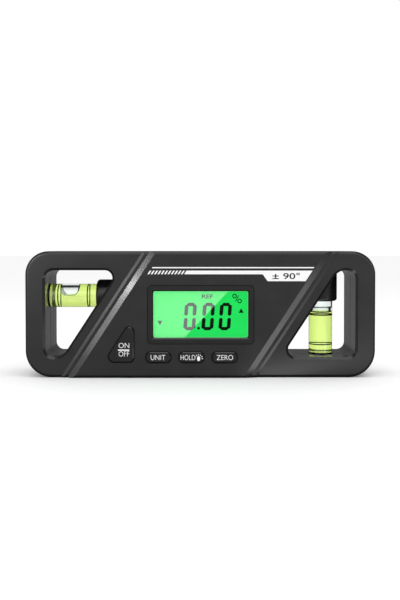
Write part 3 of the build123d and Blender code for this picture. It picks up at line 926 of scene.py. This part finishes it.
@dataclass
class Housing:
    """Both covers, the battery door, the magnets and the case screws."""

    shop: Workshop
    screw_places: tuple[Pair, ...] = (
        (-28.0 * MM, 50.0 * MM),
        (43.5 * MM, 50.4 * MM),
        (-52.0 * MM, 8.0 * MM),
        (29.5 * MM, 8.0 * MM),
    )
    screw_sides: int = 48
    screw_turn: float = 27.0
    shank_radius: float = 1.25 * MM
    head_radius: float = 2.25 * MM
    head_high: float = 1.8 * MM
    head_round: float = 0.4 * MM
    tip_round: float = 0.3 * MM
    slot_long: float = 2.6 * MM
    slot_wide: float = 0.55 * MM
    slot_deep: float = 0.9 * MM

    def screw(self) -> Piece:
        """One cross-head screw along Z, its head's top at the origin.

        Returns:
            The piece.
        """
        low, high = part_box("case_screws")
        long = high.y - low.y
        screw = Bench.rod("screw", self.head_radius, -self.head_high, 0.0, self.screw_sides)
        border = self.head_radius - self.shank_radius
        Bench.sink(screw, -self.head_high, border, self.head_high - long)
        Bench.round_ring(screw, 0.0, self.head_radius, self.head_round)
        Bench.round_ring(screw, -long, self.shank_radius, self.tip_round)
        half = Vector((self.slot_long / 2, self.slot_wide / 2, self.slot_deep))
        for reach in (half, Vector((half.y, half.x, half.z))):
            Bench.cut(screw, Bench.block("slot", -reach, reach))
        return Bench.smooth(screw)

    def screws(self) -> Piece:
        """All case screws, driven in from the back.

        Returns:
            The piece.
        """
        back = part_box("case_screws")[1].y
        upright = Matrix.Rotation(-math.pi / 2, 4, "X")
        driven = []
        for number, (x, z) in enumerate(self.screw_places):
            turn = Matrix.Rotation(math.radians(self.screw_turn * number), 4, "Z")
            driven.append(Bench.carry(self.screw(), turn, upright, Matrix.Translation((x, back, z))))
        return Bench.join("cross_head_screws", driven)

    def build(self) -> None:
        """Dresses the housing."""
        satin = MouldedPlastic("satin_black", (0.0105, 0.0105, 0.0110), 0.40, 0.22, dull_bands=True)
        self.shop.dress(satin, "front_cover", "rear_cover", "battery_door")
        steel = PlatedMetal("blackened_steel", (0.16, 0.16, 0.17), 0.36)
        self.shop.seat(self.screws(), HOUSING, Slot.SCREW, steel, "case_screws")
        self.shop.dress(PlatedMetal("nickel_plate", (0.66, 0.65, 0.62), 0.22), "base_magnets")


@dataclass
class PanelPrint:
    """White print on the raised panel: two lines, a hatch and the end field with its range mark."""

    shop: Workshop
    thick: float = 0.02 * MM
    top_line: Edges = (-21.9 * MM, 51.2 * MM, 49.88 * MM, 50.42 * MM)
    bar_low: float = 47.18 * MM
    bar_high: float = 48.82 * MM
    hatch_left: float = -23.9 * MM
    hatch_right: float = -7.3 * MM
    hatch_count: int = 11
    field_left: float = 30.4 * MM
    field_right: float = 47.6 * MM
    field_low: float = 44.05 * MM
    field_taper: float = 2.2 * MM
    mark: Edges = (32.6 * MM, 45.0 * MM, 44.95 * MM, 47.85 * MM)
    mark_bold: float = 0.012

    def bar(self, name: str, left: float, right: float, low: float, high: float) -> Piece:
        """A printed bar with slanted ends.

        Args:
            name: The piece's name.
            left: Its lower left corner's X.
            right: Its lower right corner's X.
            low: Its lower edge's Z.
            high: Its upper edge's Z.

        Returns:
            The piece.
        """
        face = self.shop.face("front_cover")
        corners = Bench.corners(left, right, low, high, face - self.thick, face + self.thick)
        piece = Bench.block(name, *corners)
        with Bench.picked(piece, "VERT", lambda vertex: vertex.co.z > (low + high) / 2):
            bpy.ops.transform.translate(value=((high - low) * PANEL_LEAN, 0.0, 0.0))
        return piece

    def end_field(self) -> Piece:
        """The white field, whose left end slants the other way.

        Returns:
            The piece.
        """
        piece = self.bar("field", self.field_left, self.field_right, self.field_low, self.bar_low)
        middle = (self.field_left + self.field_right) / 2
        level = (self.field_low + self.bar_low) / 2
        slid = self.field_taper + (self.bar_low - self.field_low) * PANEL_LEAN
        with Bench.picked(piece, "VERT", lambda end: end.co.z > level and end.co.x < middle):
            bpy.ops.transform.translate(value=(-slid, 0.0, 0.0))
        return piece

    def build(self) -> None:
        """Makes the print."""
        end = self.field_right + (self.bar_low - self.field_low) * PANEL_LEAN
        pieces = [
            self.bar("line", *self.top_line),
            self.bar("bar", self.hatch_right, end, self.bar_low, self.bar_high),
        ]
        pitch = (self.hatch_right - self.hatch_left) / self.hatch_count
        for step in range(self.hatch_count):
            left = self.hatch_left + step * pitch
            pieces.append(self.bar("stripe", left, left + pitch / 2, self.bar_low, self.bar_high))
        pieces.append(self.end_field())
        self.shop.seat(Bench.join("panel_print", pieces), HOUSING, Slot.BODY, WHITE_INK)
        face = self.shop.face("front_cover")
        corners = Bench.corners(*self.mark, face - 2 * self.thick, face)
        mark = Bench.lettering("range_mark", "± 90°", *corners, self.mark_bold)
        self.shop.seat(mark, HOUSING, Slot.BODY, DARK_INK)


@dataclass
class Keys:
    """The four push buttons and their lettering."""

    shop: Workshop
    thick: float = 0.02 * MM
    letter_high: float = 2.3 * MM
    letter_bold: float = -0.008
    letters_z: float = 8.4 * MM
    words: tuple[tuple[str, float, float], ...] = (
        ("unit", -22.4 * MM, -15.8 * MM),
        ("hold", -8.9 * MM, -2.3 * MM),
        ("zero", 7.4 * MM, 14.8 * MM),
    )
    power_words: tuple[tuple[str, float, float, float], ...] = (
        ("on", -36.9 * MM, -32.1 * MM, 13.85 * MM),
        ("off", -36.9 * MM, -32.1 * MM, 10.05 * MM),
    )
    divider: Edges = (-37.2 * MM, -32.1 * MM, 12.62 * MM, 13.2 * MM)
    lamp_x: float = -0.77 * MM
    lamp_z: float = 9.07 * MM
    lamp_wide: float = 1.45 * MM
    lamp_high: float = 2.26 * MM
    lamp_sides: int = 32
    ray_reach: float = 2.0 * MM
    ray_long: float = 0.55 * MM
    ray_wide: float = 0.3 * MM
    ray_count: int = 7

    def word(self, key: str, name: str, left: float, right: float, low: float) -> Piece:
        """A word on a key, in capitals.

        Args:
            key: The key's name in the CAD.
            name: The piece's name, which starts with the word.
            left: Where the word starts.
            right: Where it ends.
            low: Its foot.

        Returns:
            The piece.
        """
        face = self.shop.face(f"{key}_button")
        edges = (left, right, low, low + self.letter_high)
        corners = Bench.corners(*edges, face - self.thick, face + self.thick)
        return Bench.lettering(name, name.split("_")[0].upper(), *corners, self.letter_bold)

    def lamp(self) -> Piece:
        """The lamp sign beside HOLD: a bulb with short rays over it.

        Returns:
            The piece.
        """
        face = self.shop.face("hold_button") + self.thick
        place = Matrix.Translation((self.lamp_x, face, self.lamp_z))
        deep = 2 * self.thick
        bulb = Bench.rod("bulb", self.lamp_wide / 2, 0.0, deep, self.lamp_sides)
        taller = Matrix.Scale(self.lamp_high / self.lamp_wide, 4, (0, 0, 1))
        parts = [Bench.carry(bulb, TO_FRONT, taller, place)]
        half = self.ray_wide / 2
        corners = Bench.corners(self.ray_reach - self.ray_long, self.ray_reach, -half, half, -deep, 0.0)
        for step in range(self.ray_count):
            turn = Matrix.Rotation(-math.pi * step / (self.ray_count - 1), 4, "Y")
            parts.append(Bench.carry(Bench.block("ray", *corners), turn, place))
        return Bench.join("lamp_sign", parts)

    def power(self) -> Piece:
        """ON over OFF, with a line between them.

        Returns:
            The piece.
        """
        face = self.shop.face("on_off_button")
        corners = Bench.corners(*self.divider, face - self.thick, face + self.thick)
        parts = [self.word("on_off", *row) for row in self.power_words]
        return Bench.join("power_letters", [*parts, Bench.block("divider", *corners)])

    def build(self) -> None:
        """Dresses the keys and letters them."""
        caps = MouldedPlastic("key_black", (0.008, 0.008, 0.0084), 0.36, 0.2)
        rods = MouldedPlastic("plunger_black", (0.03, 0.03, 0.03), 0.5)
        for key in ("unit", "hold", "zero", "on_off"):
            self.shop.dress(caps, f"{key}_button")
            self.shop.dress(rods, f"{key}_plunger")
        for key, left, right in self.words:
            word = self.word(key, f"{key}_letters", left, right, self.letters_z)
            self.shop.seat(word, f"{key}_key", Slot.CAP, WHITE_INK)
            if key == "hold":
                self.shop.seat(self.lamp(), "hold_key", Slot.CAP, WHITE_INK)
        self.shop.seat(self.power(), "on_off_key", Slot.CAP, WHITE_INK)


@dataclass
class Display:
    """Bezel, lens, lit panel with its digits and signs, backlight and holder."""

    shop: Workshop
    border: float = 1.2 * MM
    thick: float = 0.03 * MM
    digit_low: float = 21.56 * MM
    digit_high: float = 34.1 * MM
    digit_width: float = 5.45 * MM
    digit_lean: float = 0.072
    digit_places: Triple = (-7.84 * MM, 0.41 * MM, 8.16 * MM)
    upright_wide: float = 1.66 * MM
    level_wide: float = 1.54 * MM
    segment_gap: float = 0.2 * MM
    segment_point: float = 0.32
    segment_sunk: float = 0.45
    waist: float = 0.4 * MM
    point_x: float = -0.78 * MM
    point_z: float = 22.5 * MM
    point_size: float = 1.1 * MM
    word: Edges = (0.68 * MM, 5.8 * MM, 36.06 * MM, 37.93 * MM)
    word_bold: float = 0.02
    ring_places: tuple[Pair, ...] = ((15.6 * MM, 37.15 * MM), (17.88 * MM, 34.92 * MM))
    ring_radius: float = 0.82 * MM
    ring_stroke: float = 0.22 * MM
    slash_long: float = 3.198 * MM
    slash_half: float = 0.176 * MM
    slash_lean: float = 30.0
    up_mark: Pair = (18.6 * MM, 30.2 * MM)
    down_mark: Pair = (-18.4 * MM, 25.25 * MM)
    mark_radius: float = 1.35 * MM

    def segment(self, long: float, wide: float, upright: bool, centre: Vector) -> Piece:
        """One bar of a digit, pointed at both ends.

        Args:
            long: Its length.
            wide: Its width.
            upright: Whether it stands.
            centre: Its middle.

        Returns:
            The piece.
        """
        half = Vector((long / 2, self.thick / 2, wide / 2))
        bar = Bench.block("bar", -half, half)
        Bench.bevel(bar, Bench.runs_along_y, self.segment_point * wide)
        if upright:
            Bench.carry(bar, Matrix.Rotation(math.pi / 2, 4, "Y"))
        return Bench.carry(bar, Matrix.Translation(centre))

    def zero(self, left: float, face: float) -> list[Piece]:
        """The six bars of a zero.

        Args:
            left: X of its lower left corner.
            face: Y of the bars' middle.

        Returns:
            The bars.
        """
        high = self.digit_high - self.digit_low
        bars = []
        long = self.digit_width - self.upright_wide - 2 * self.segment_gap
        for level in (0.0, high - self.level_wide):
            z = self.digit_low + level + self.level_wide / 2
            centre = Vector((left + self.digit_width / 2, face, z))
            bars.append(self.segment(long, self.level_wide, False, centre))
        sunk = self.segment_sunk * self.level_wide
        long = high / 2 - sunk - self.segment_gap - self.waist
        for start in (sunk, high / 2 + self.waist):
            for side in (self.upright_wide / 2, self.digit_width - self.upright_wide / 2):
                centre = Vector((left + side, face, self.digit_low + start + long / 2))
                bars.append(self.segment(long, self.upright_wide, True, centre))
        return bars

    def number(self, face: float) -> list[Piece]:
        """The digits, leaning, and the point between them.

        Args:
            face: Y of the digits' middle.

        Returns:
            The digits as one piece, and the point.
        """
        bars = [bar for left in self.digit_places for bar in self.zero(left, face)]
        lean = Matrix.Identity(4)
        lean[0][2] = self.digit_lean
        lean[0][3] = -self.digit_lean * self.digit_low
        half = Vector((self.point_size / 2, self.thick / 2, self.point_size / 2))
        point = Vector((self.point_x, face, self.point_z))
        digits = Bench.carry(Bench.join("digits", bars), lean)
        return [digits, Bench.block("point", point - half, point + half)]

    def triangle(self, place: Matrix, turn: float) -> Piece:
        """A small triangle.

        Args:
            place: The shift to its place.
            turn: Its turn from pointing up.

        Returns:
            The piece.
        """
        half = self.thick / 2
        mark = Bench.carry(Bench.rod("mark", self.mark_radius, -half, half, 3), TO_FRONT)
        highest = max(mark.data.vertices, key=lambda vertex: vertex.co.z).co
        turn -= math.atan2(highest.x, highest.z)
        return Bench.carry(mark, Matrix.Rotation(turn, 4, "Y"), place)

    def ring(self, place: Matrix) -> Piece:
        """One ring of the ring-slash-ring sign.

        Args:
            place: The shift to its place.

        Returns:
            The piece.
        """
        Bench.clear_selection()
        bpy.ops.mesh.primitive_torus_add(
            major_radius=self.ring_radius,
            minor_radius=self.ring_stroke,
            major_segments=28,
            minor_segments=6,
            rotation=(math.pi / 2, 0, 0),
        )
        flatter = Matrix.Scale(self.thick / (2 * self.ring_stroke), 4, (0, 1, 0))
        return Bench.carry(Bench.settle("ring"), flatter, place)

    def segments(self) -> Piece:
        """All dark parts of the picture on the panel.

        Returns:
            The piece.
        """
        face = self.shop.face("lcd_panel") - self.thick / 2

        def at(x: float, z: float) -> Matrix:
            """A shift to a place on the panel."""
            return Matrix.Translation((x, face, z))

        corners = Bench.corners(*self.word, face - self.thick / 2, face + self.thick / 2)
        parts = [*self.number(face), Bench.lettering("word", "REF", *corners, self.word_bold)]
        parts.append(self.triangle(at(*self.up_mark), 0.0))
        parts.append(self.triangle(at(*self.down_mark), math.pi))
        parts += [self.ring(at(*place)) for place in self.ring_places]
        (x0, z0), (x1, z1) = self.ring_places
        half = Vector((self.slash_half, self.thick / 2, self.slash_long / 2))
        lean = Matrix.Rotation(math.radians(self.slash_lean), 4, "Y")
        slash = Bench.block("slash", -half, half)
        parts.append(Bench.carry(slash, lean, at((x0 + x1) / 2, (z0 + z1) / 2)))
        return Bench.join("display_segments", parts)

    def build(self) -> None:
        """Dresses the display and makes its picture."""
        low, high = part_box("lcd_panel")
        border = Vector((self.border, 0.0, self.border))
        dress = self.shop.dress
        dress(MouldedPlastic("bezel_black", (0.008, 0.008, 0.0084), 0.34, 0.2), "display_bezel")
        # the lens carries a painted glare on its left
        dress(WindowSheet("lens_acrylic"), "display_lens")
        dress(BacklitGlass("lit_green", (0.014, 0.718, 0.105), low + border, high - border), "lcd_panel")
        dress(MouldedPlastic("diffuser_white", (0.75, 0.78, 0.75), 0.5), "lcd_backlight")
        dress(MouldedPlastic("holder_black", (0.02, 0.02, 0.02), 0.5), "lcd_holder")
        self.shop.seat(self.segments(), HOUSING, Slot.DISPLAY, SEGMENT_INK)


@dataclass
class Vial:
    """One bubble vial, modelled along Z about its own middle and then laid in its place."""

    shop: Workshop
    name: str
    upright: bool
    bore_radius: float = 4.2 * MM
    cavity_end: float = 10.8 * MM
    film: float = 0.005 * MM
    bubble_place: float = -1.63 * MM
    bubble_half: Vector = Vector((4.0 * MM, 5.5 * MM, 4.0 * MM))
    bubble_round: float = 2.4 * MM
    bubble_segments: int = 14
    skin_play: float = 0.04 * MM
    surface_rim: float = 8.55 * MM
    surface_steps: tuple[Pair, ...] = (
        (0.5 * MM, 0.50 * MM),
        (0.9 * MM, 0.32 * MM),
        (1.2 * MM, 0.18 * MM),
    )
    stopper_skirt: float = 0.2 * MM
    stopper_recess: float = 2.1 * MM
    stopper_round: float = 0.3 * MM
    recess_round: float = 0.8 * MM
    ring_offset: float = 6.85 * MM
    ring_radius: float = 5.3 * MM
    ring_wide: float = 0.55 * MM
    ring_thick: float = 0.1 * MM
    seat_play: float = 0.08 * MM
    cup_round: float = 1.3 * MM

    def along(self, node: str) -> Pair:
        """Where a CAD node starts and ends on the vial's axis, from the vial's middle.

        Args:
            node: The CAD node.

        Returns:
            Its start and its end.
        """
        axis = 2 if self.upright else 0
        low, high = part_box(self.name)
        middle = (low[axis] + high[axis]) / 2
        first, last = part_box(node)
        return first[axis] - middle, last[axis] - middle

    def radius(self, node: str) -> float:
        """The radius of a round CAD node."""
        low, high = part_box(node)
        return (high.y - low.y) / 2

    def lay(self, piece: Piece) -> Piece:
        """Carries a piece from its own axis to the vial's place.

        Args:
            piece: The piece.

        Returns:
            The same piece.
        """
        low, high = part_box(self.name)
        turn = Matrix.Identity(3) if self.upright else Matrix(((0, 0, 1), (0, -1, 0), (1, 0, 0)))
        return Bench.carry(piece, Matrix.Translation((low + high) / 2) @ turn.to_4x4())

    def tube(self) -> Piece:
        """The clear body, bored from one end.

        Returns:
            The piece.
        """
        low, high = self.along(self.name)
        radius = self.radius(self.name)
        body = Bench.rod(f"{self.name}_tube", radius, low, high)
        Bench.sink(body, high, radius - self.bore_radius, -self.cavity_end - high)
        return self.lay(Bench.smooth(body))

    def bubble(self, play: float) -> Piece:
        """The bubble's form: a rounded block under the bore's wall.

        Args:
            play: How far each side is let out.

        Returns:
            The piece.
        """
        half = self.bubble_half + Vector((play, play, play))
        middle = Vector((self.bore_radius, 0.0, self.bubble_place))
        form = Bench.block("bubble", middle - half, middle + half)
        Bench.bevel(form, lambda edge: True, self.bubble_round, self.bubble_segments)
        return form

    def painted_shade_skin(self) -> Piece:
        """A film on the bubble's surface in the liquid, with painted shade that darkens towards its
        outline.

        Returns:
            The piece.
        """
        low = self.bubble_place - 2 * self.bubble_half.z
        high = low + 4 * self.bubble_half.z
        piece = Bench.rod(f"{self.name}_bubble", self.bore_radius - self.film, low, high)
        Bench.cut(piece, self.bubble(self.skin_play), "INTERSECT")
        return self.lay(Bench.smooth(piece))

    def filling(self) -> Piece:
        """The liquid with its bubble, or in an upright vial with its surface drawn up at the wall.

        Returns:
            The piece.
        """
        radius = self.bore_radius + self.film
        foot = -self.cavity_end - self.film
        level = self.surface_rim if self.upright else -foot
        liquid = Bench.rod(f"{self.name}_filling", radius, foot, level)
        if self.upright:
            for border, drop in self.surface_steps:
                with Bench.picked(liquid, "FACE", Bench.at_level(level)):
                    bpy.ops.mesh.inset(thickness=border)
                    bpy.ops.transform.translate(value=(0.0, 0.0, -drop))
                level -= drop
        else:
            Bench.cut(liquid, self.bubble(0.0))
        return self.lay(Bench.smooth(liquid))

    def stopper(self) -> Piece:
        """The plug that closes the bore, in an upright vial with a rounded recess for the air.

        Returns:
            The piece.
        """
        top = self.along(f"{self.name}_plug")[1]
        radius = self.bore_radius + self.film
        foot = self.surface_rim - self.film if self.upright else self.cavity_end
        plug = Bench.rod(f"{self.name}_stopper", radius, foot, top)
        if self.upright:
            Bench.sink(plug, foot, self.stopper_skirt, self.stopper_recess)
            inner = radius - self.stopper_skirt
            Bench.round_ring(plug, foot + self.stopper_recess, inner, self.recess_round)
        Bench.round_ring(plug, top, radius, self.stopper_round)
        return self.lay(Bench.smooth(plug))

    def ring(self, place: float) -> Piece:
        """A line inlaid round the vial.

        Args:
            place: The line's place on the axis.

        Returns:
            The piece.
        """
        half = self.ring_wide / 2
        band = Bench.rod("band", self.ring_radius, place - half, place + half)
        for side in (-half, half):
            with Bench.picked(band, "FACE", Bench.at_level(place + side)):
                bpy.ops.mesh.inset(thickness=self.ring_thick)
                bpy.ops.mesh.delete(type="FACE")
        inner = self.ring_radius - self.ring_thick
        with Bench.picked(band, "EDGE", Bench.open_rim(inner)):
            bpy.ops.mesh.bridge_edge_loops()
        return band

    def cup(self) -> Piece:
        """The holder: a blind cup with a rounded mouth.

        Returns:
            The piece.
        """
        node = f"{self.name}_holder"
        low, high = self.along(node)
        radius = self.radius(node)
        seat = self.radius(self.name) + self.seat_play
        cup = Bench.rod(f"{self.name}_cup", radius, low, high)
        Bench.sink(cup, low, radius - seat, self.along(self.name)[1] + self.seat_play - low)
        Bench.round_ring(cup, low, radius, self.cup_round)
        return self.lay(Bench.smooth(cup))

    def build(self) -> None:
        """Makes the vial's pieces."""
        seat = self.shop.seat
        seat(self.tube(), HOUSING, Slot.VIAL, ACRYLIC, self.name)
        seat(self.filling(), HOUSING, Slot.FLUID, SPIRIT, f"{self.name}_fluid")
        seat(self.stopper(), HOUSING, Slot.VIAL, ACRYLIC, f"{self.name}_plug")
        seat(self.cup(), HOUSING, Slot.CUP, CUP_PLASTIC, f"{self.name}_holder")
        bands = [self.ring(place) for place in (-self.ring_offset, self.ring_offset)]
        rings = self.lay(Bench.join(f"{self.name}_rings", bands))
        seat(rings, HOUSING, Slot.VIAL, RING_INK)
        if not self.upright:
            # the bubble's outline gets a dark film of painted shade
            seat(self.painted_shade_skin(), HOUSING, Slot.FLUID, PAINTED_BUBBLE_SHADE)


@dataclass
class Power:
    """The two cells and their contacts."""

    shop: Workshop

    def build(self) -> None:
        """Dresses cells and contacts."""
        upper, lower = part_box("battery_upper"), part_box("battery_lower")
        self.shop.dress(CellSleeve("battery_upper_sleeve", upper[0].x, upper[1].x), "battery_upper")
        self.shop.dress(CellSleeve("battery_lower_sleeve", lower[1].x, lower[0].x), "battery_lower")
        nickel = PlatedMetal("contact_nickel", (0.68, 0.67, 0.63), 0.25)
        self.shop.dress(nickel, "bridge_plate", "contact_plate_upper", "contact_plate_lower")


@dataclass
class Electronics:
    """The circuit board and what is soldered to it."""

    shop: Workshop

    def build(self) -> None:
        """Dresses board, switches, chip and sensor."""
        self.shop.dress(SolderMask("solder_mask"), "circuit_board")
        resin = MouldedPlastic("chip_resin", (0.012, 0.012, 0.012), 0.55)
        self.shop.dress(resin, "controller_chip", "tilt_sensor")
        self.shop.dress(PlatedMetal("switch_tin", (0.62, 0.62, 0.60), 0.3), "tact_switches")


@dataclass(frozen=True)
class Lamp:
    """A soft rectangular lamp aimed at a point, which may light the front cover alone."""

    name: str
    place: Triple
    aim: Triple
    wide: float
    high: float
    power: float
    cover_only: bool = False

    def build(self) -> None:
        """Adds the lamp."""
        data = bpy.data.lights.new(self.name, "AREA")
        data.shape = "RECTANGLE"
        data.size = self.wide
        data.size_y = self.high
        data.energy = self.power
        lamp = bpy.data.objects.new(self.name, data)
        bpy.context.scene.collection.objects.link(lamp)
        lamp.location = self.place
        lamp.rotation_euler = (Vector(self.aim) - lamp.location).to_track_quat("-Z", "Y").to_euler()
        lamp.visible_camera = False
        if self.cover_only:
            lit = bpy.data.collections.new(f"{self.name}_on")
            lit.objects.link(bpy.data.objects["front_cover"])
            lamp.light_linking.receiver_collection = lit


@dataclass
class Studio:
    """Floor, surrounding light, lamps and camera."""

    eye: Triple = (-0.14 * MM, -330.5 * MM, 58.4 * MM)
    pitch: float = 1.24
    lens: float = 42.12
    shift: float = -0.059
    floor_size: float = 12.0
    floor_colour: Triple = (0.87, 0.87, 0.875)
    floor_lift: float = 0.07
    floor_gloss: float = 0.34
    floor_behind: float = 0.30
    painted_strip_glow: float = 2.9
    strip_from: Pair = (31 * MM, 20 * MM)
    strip_fade: float = 15 * MM
    strip_lean: float = 0.633
    strip_half: float = 8 * MM
    strip_end: float = 135 * MM
    strip_end_fade: float = 20 * MM
    shade_start: float = -14 * MM
    shade_end: float = -18 * MM
    fill: float = 1.0
    gloss_behind: float = 0.185
    gloss_front: float = 0.32
    gloss_ring: float = 1.0
    front_rise: Pair = (0.5, 0.8)
    ring_rise: Pair = (0.50, 0.70)
    ring_fall: Pair = (0.93, 0.975)
    lamps: tuple[Lamp, ...] = (
        Lamp("top_softbox", (0.04, -0.12, 0.55), (0.0, 0.0, 0.03), 0.50, 0.34, 0.85),
        Lamp("left_strip", (-0.140, -0.114, 0.080), (-0.045, -0.013, 0.030), 0.028, 0.075, 0.033, True),
        Lamp("left_spark", (-0.132, -0.115, 0.091), (-0.0334, -0.013, 0.0436), 0.014, 0.014, 0.022, True),
    )

    def floor_painted_reflection(self, graph: Graph) -> Value:
        """What a reflection sees of the floor: an even grey glow, with painted shade beside the level and
        one painted strip of light.

        Args:
            graph: The floor's graph.

        Returns:
            The strength of its glow.
        """
        x, y, _ = graph.parts("Object")
        start_x, start_y = self.strip_from
        strip = (y + start_y + (x - start_x) * self.strip_lean).distance(0.0)
        strip = strip.mapped(self.strip_half, 2 * self.strip_half, 1.0, 0.0)
        strip = strip * x.mapped(start_x - self.strip_fade, start_x)
        strip = strip * x.mapped(self.strip_end, self.strip_end + self.strip_end_fade, 1.0, 0.0)
        front_of_painted_shade = y.mapped(self.shade_end, self.shade_start, 1.0, 0.0)
        back_of_painted_shade = y.mapped(-self.shade_start, -self.shade_end, 0.0, self.floor_behind)
        return front_of_painted_shade * (strip * self.painted_strip_glow + self.floor_gloss) + back_of_painted_shade

    def build_floor(self) -> None:
        """The pale floor: lit and a shade lifted for the eye; in reflections a grey glow with painted
        shade and a painted strip of light.
        """
        Bench.clear_selection()
        bpy.ops.mesh.primitive_plane_add(size=self.floor_size)
        floor = Bench.settle("floor")
        material = bpy.data.materials.new("floor_paper")
        graph = Graph(material)
        camera, through, glossy = graph.rays()
        matt = graph.add("BsdfDiffuse", inputs={"Color": (*self.floor_colour, 1.0)})
        lift = (camera + through).clamped() * self.floor_lift
        glow = graph.add("Emission", inputs={"Strength": lift})
        seen = graph.add("AddShader", inputs={0: matt.outputs[0], 1: glow.outputs[0]})
        # reflections see the floor as a glow with painted shade beside the level and a painted strip of
        # light
        grey = graph.add("Emission", inputs={"Strength": self.floor_painted_reflection(graph)})
        inputs = {0: glossy * (1 - through), 1: seen.outputs[0], 2: grey.outputs[0]}
        graph.end("Material", graph.add("MixShader", inputs=inputs))
        floor.data.materials.append(material)

    def build_world(self) -> None:
        """Even white light all round, which gloss sees as grey with a ring of light about the camera."""
        world = bpy.data.worlds.new("studio")
        bpy.context.scene.world = world
        graph = Graph(world)
        camera, through, glossy = graph.rays()
        front = 0.0 - graph.parts("Generated")[1]
        ring = front.mapped(*self.ring_rise) - front.mapped(*self.ring_fall)
        mirrored = front.mapped(*self.front_rise, 0.0, self.gloss_front) + ring * self.gloss_ring
        seen = (camera + through).clamped()
        unseen = glossy * (mirrored + self.gloss_behind) + (1 - glossy) * self.fill
        inputs = {"Color": (1, 1, 1, 1), "Strength": seen + (1 - seen) * unseen}
        graph.end("World", graph.add("Background", inputs=inputs))

    def build_camera(self) -> None:
        """The camera at the photograph's height and distance."""
        data = bpy.data.cameras.new("camera")
        data.lens = self.lens
        data.sensor_width = 36.0
        data.shift_y = self.shift
        data.clip_start = 0.01
        camera = bpy.data.objects.new("camera", data)
        bpy.context.scene.collection.objects.link(camera)
        camera.location = self.eye
        camera.rotation_euler = (math.radians(90 - self.pitch), 0, 0)
        bpy.context.scene.camera = camera

    def build(self) -> None:
        """Builds the studio."""
        self.build_camera()
        self.build_floor()
        self.build_world()
        for lamp in self.lamps:
            lamp.build()
        bpy.context.scene.view_settings.view_transform = "Standard"
        log.info("studio with %d lamps", len(self.lamps))


def main() -> None:
    """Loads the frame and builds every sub-assembly."""
    logging.basicConfig(level=logging.INFO, format="%(name)s: %(message)s")
    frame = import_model()
    shop = Workshop(frame["nodes"])
    Studio().build()
    for assembly in (Housing, PanelPrint, Keys, Display):
        assembly(shop).build()
    for name, upright in (("horizontal_vial", False), ("vertical_vial", True)):
        Vial(shop, name, upright).build()
    for assembly in (Power, Electronics):
        assembly(shop).build()


if __name__ == "__main__":
    main()
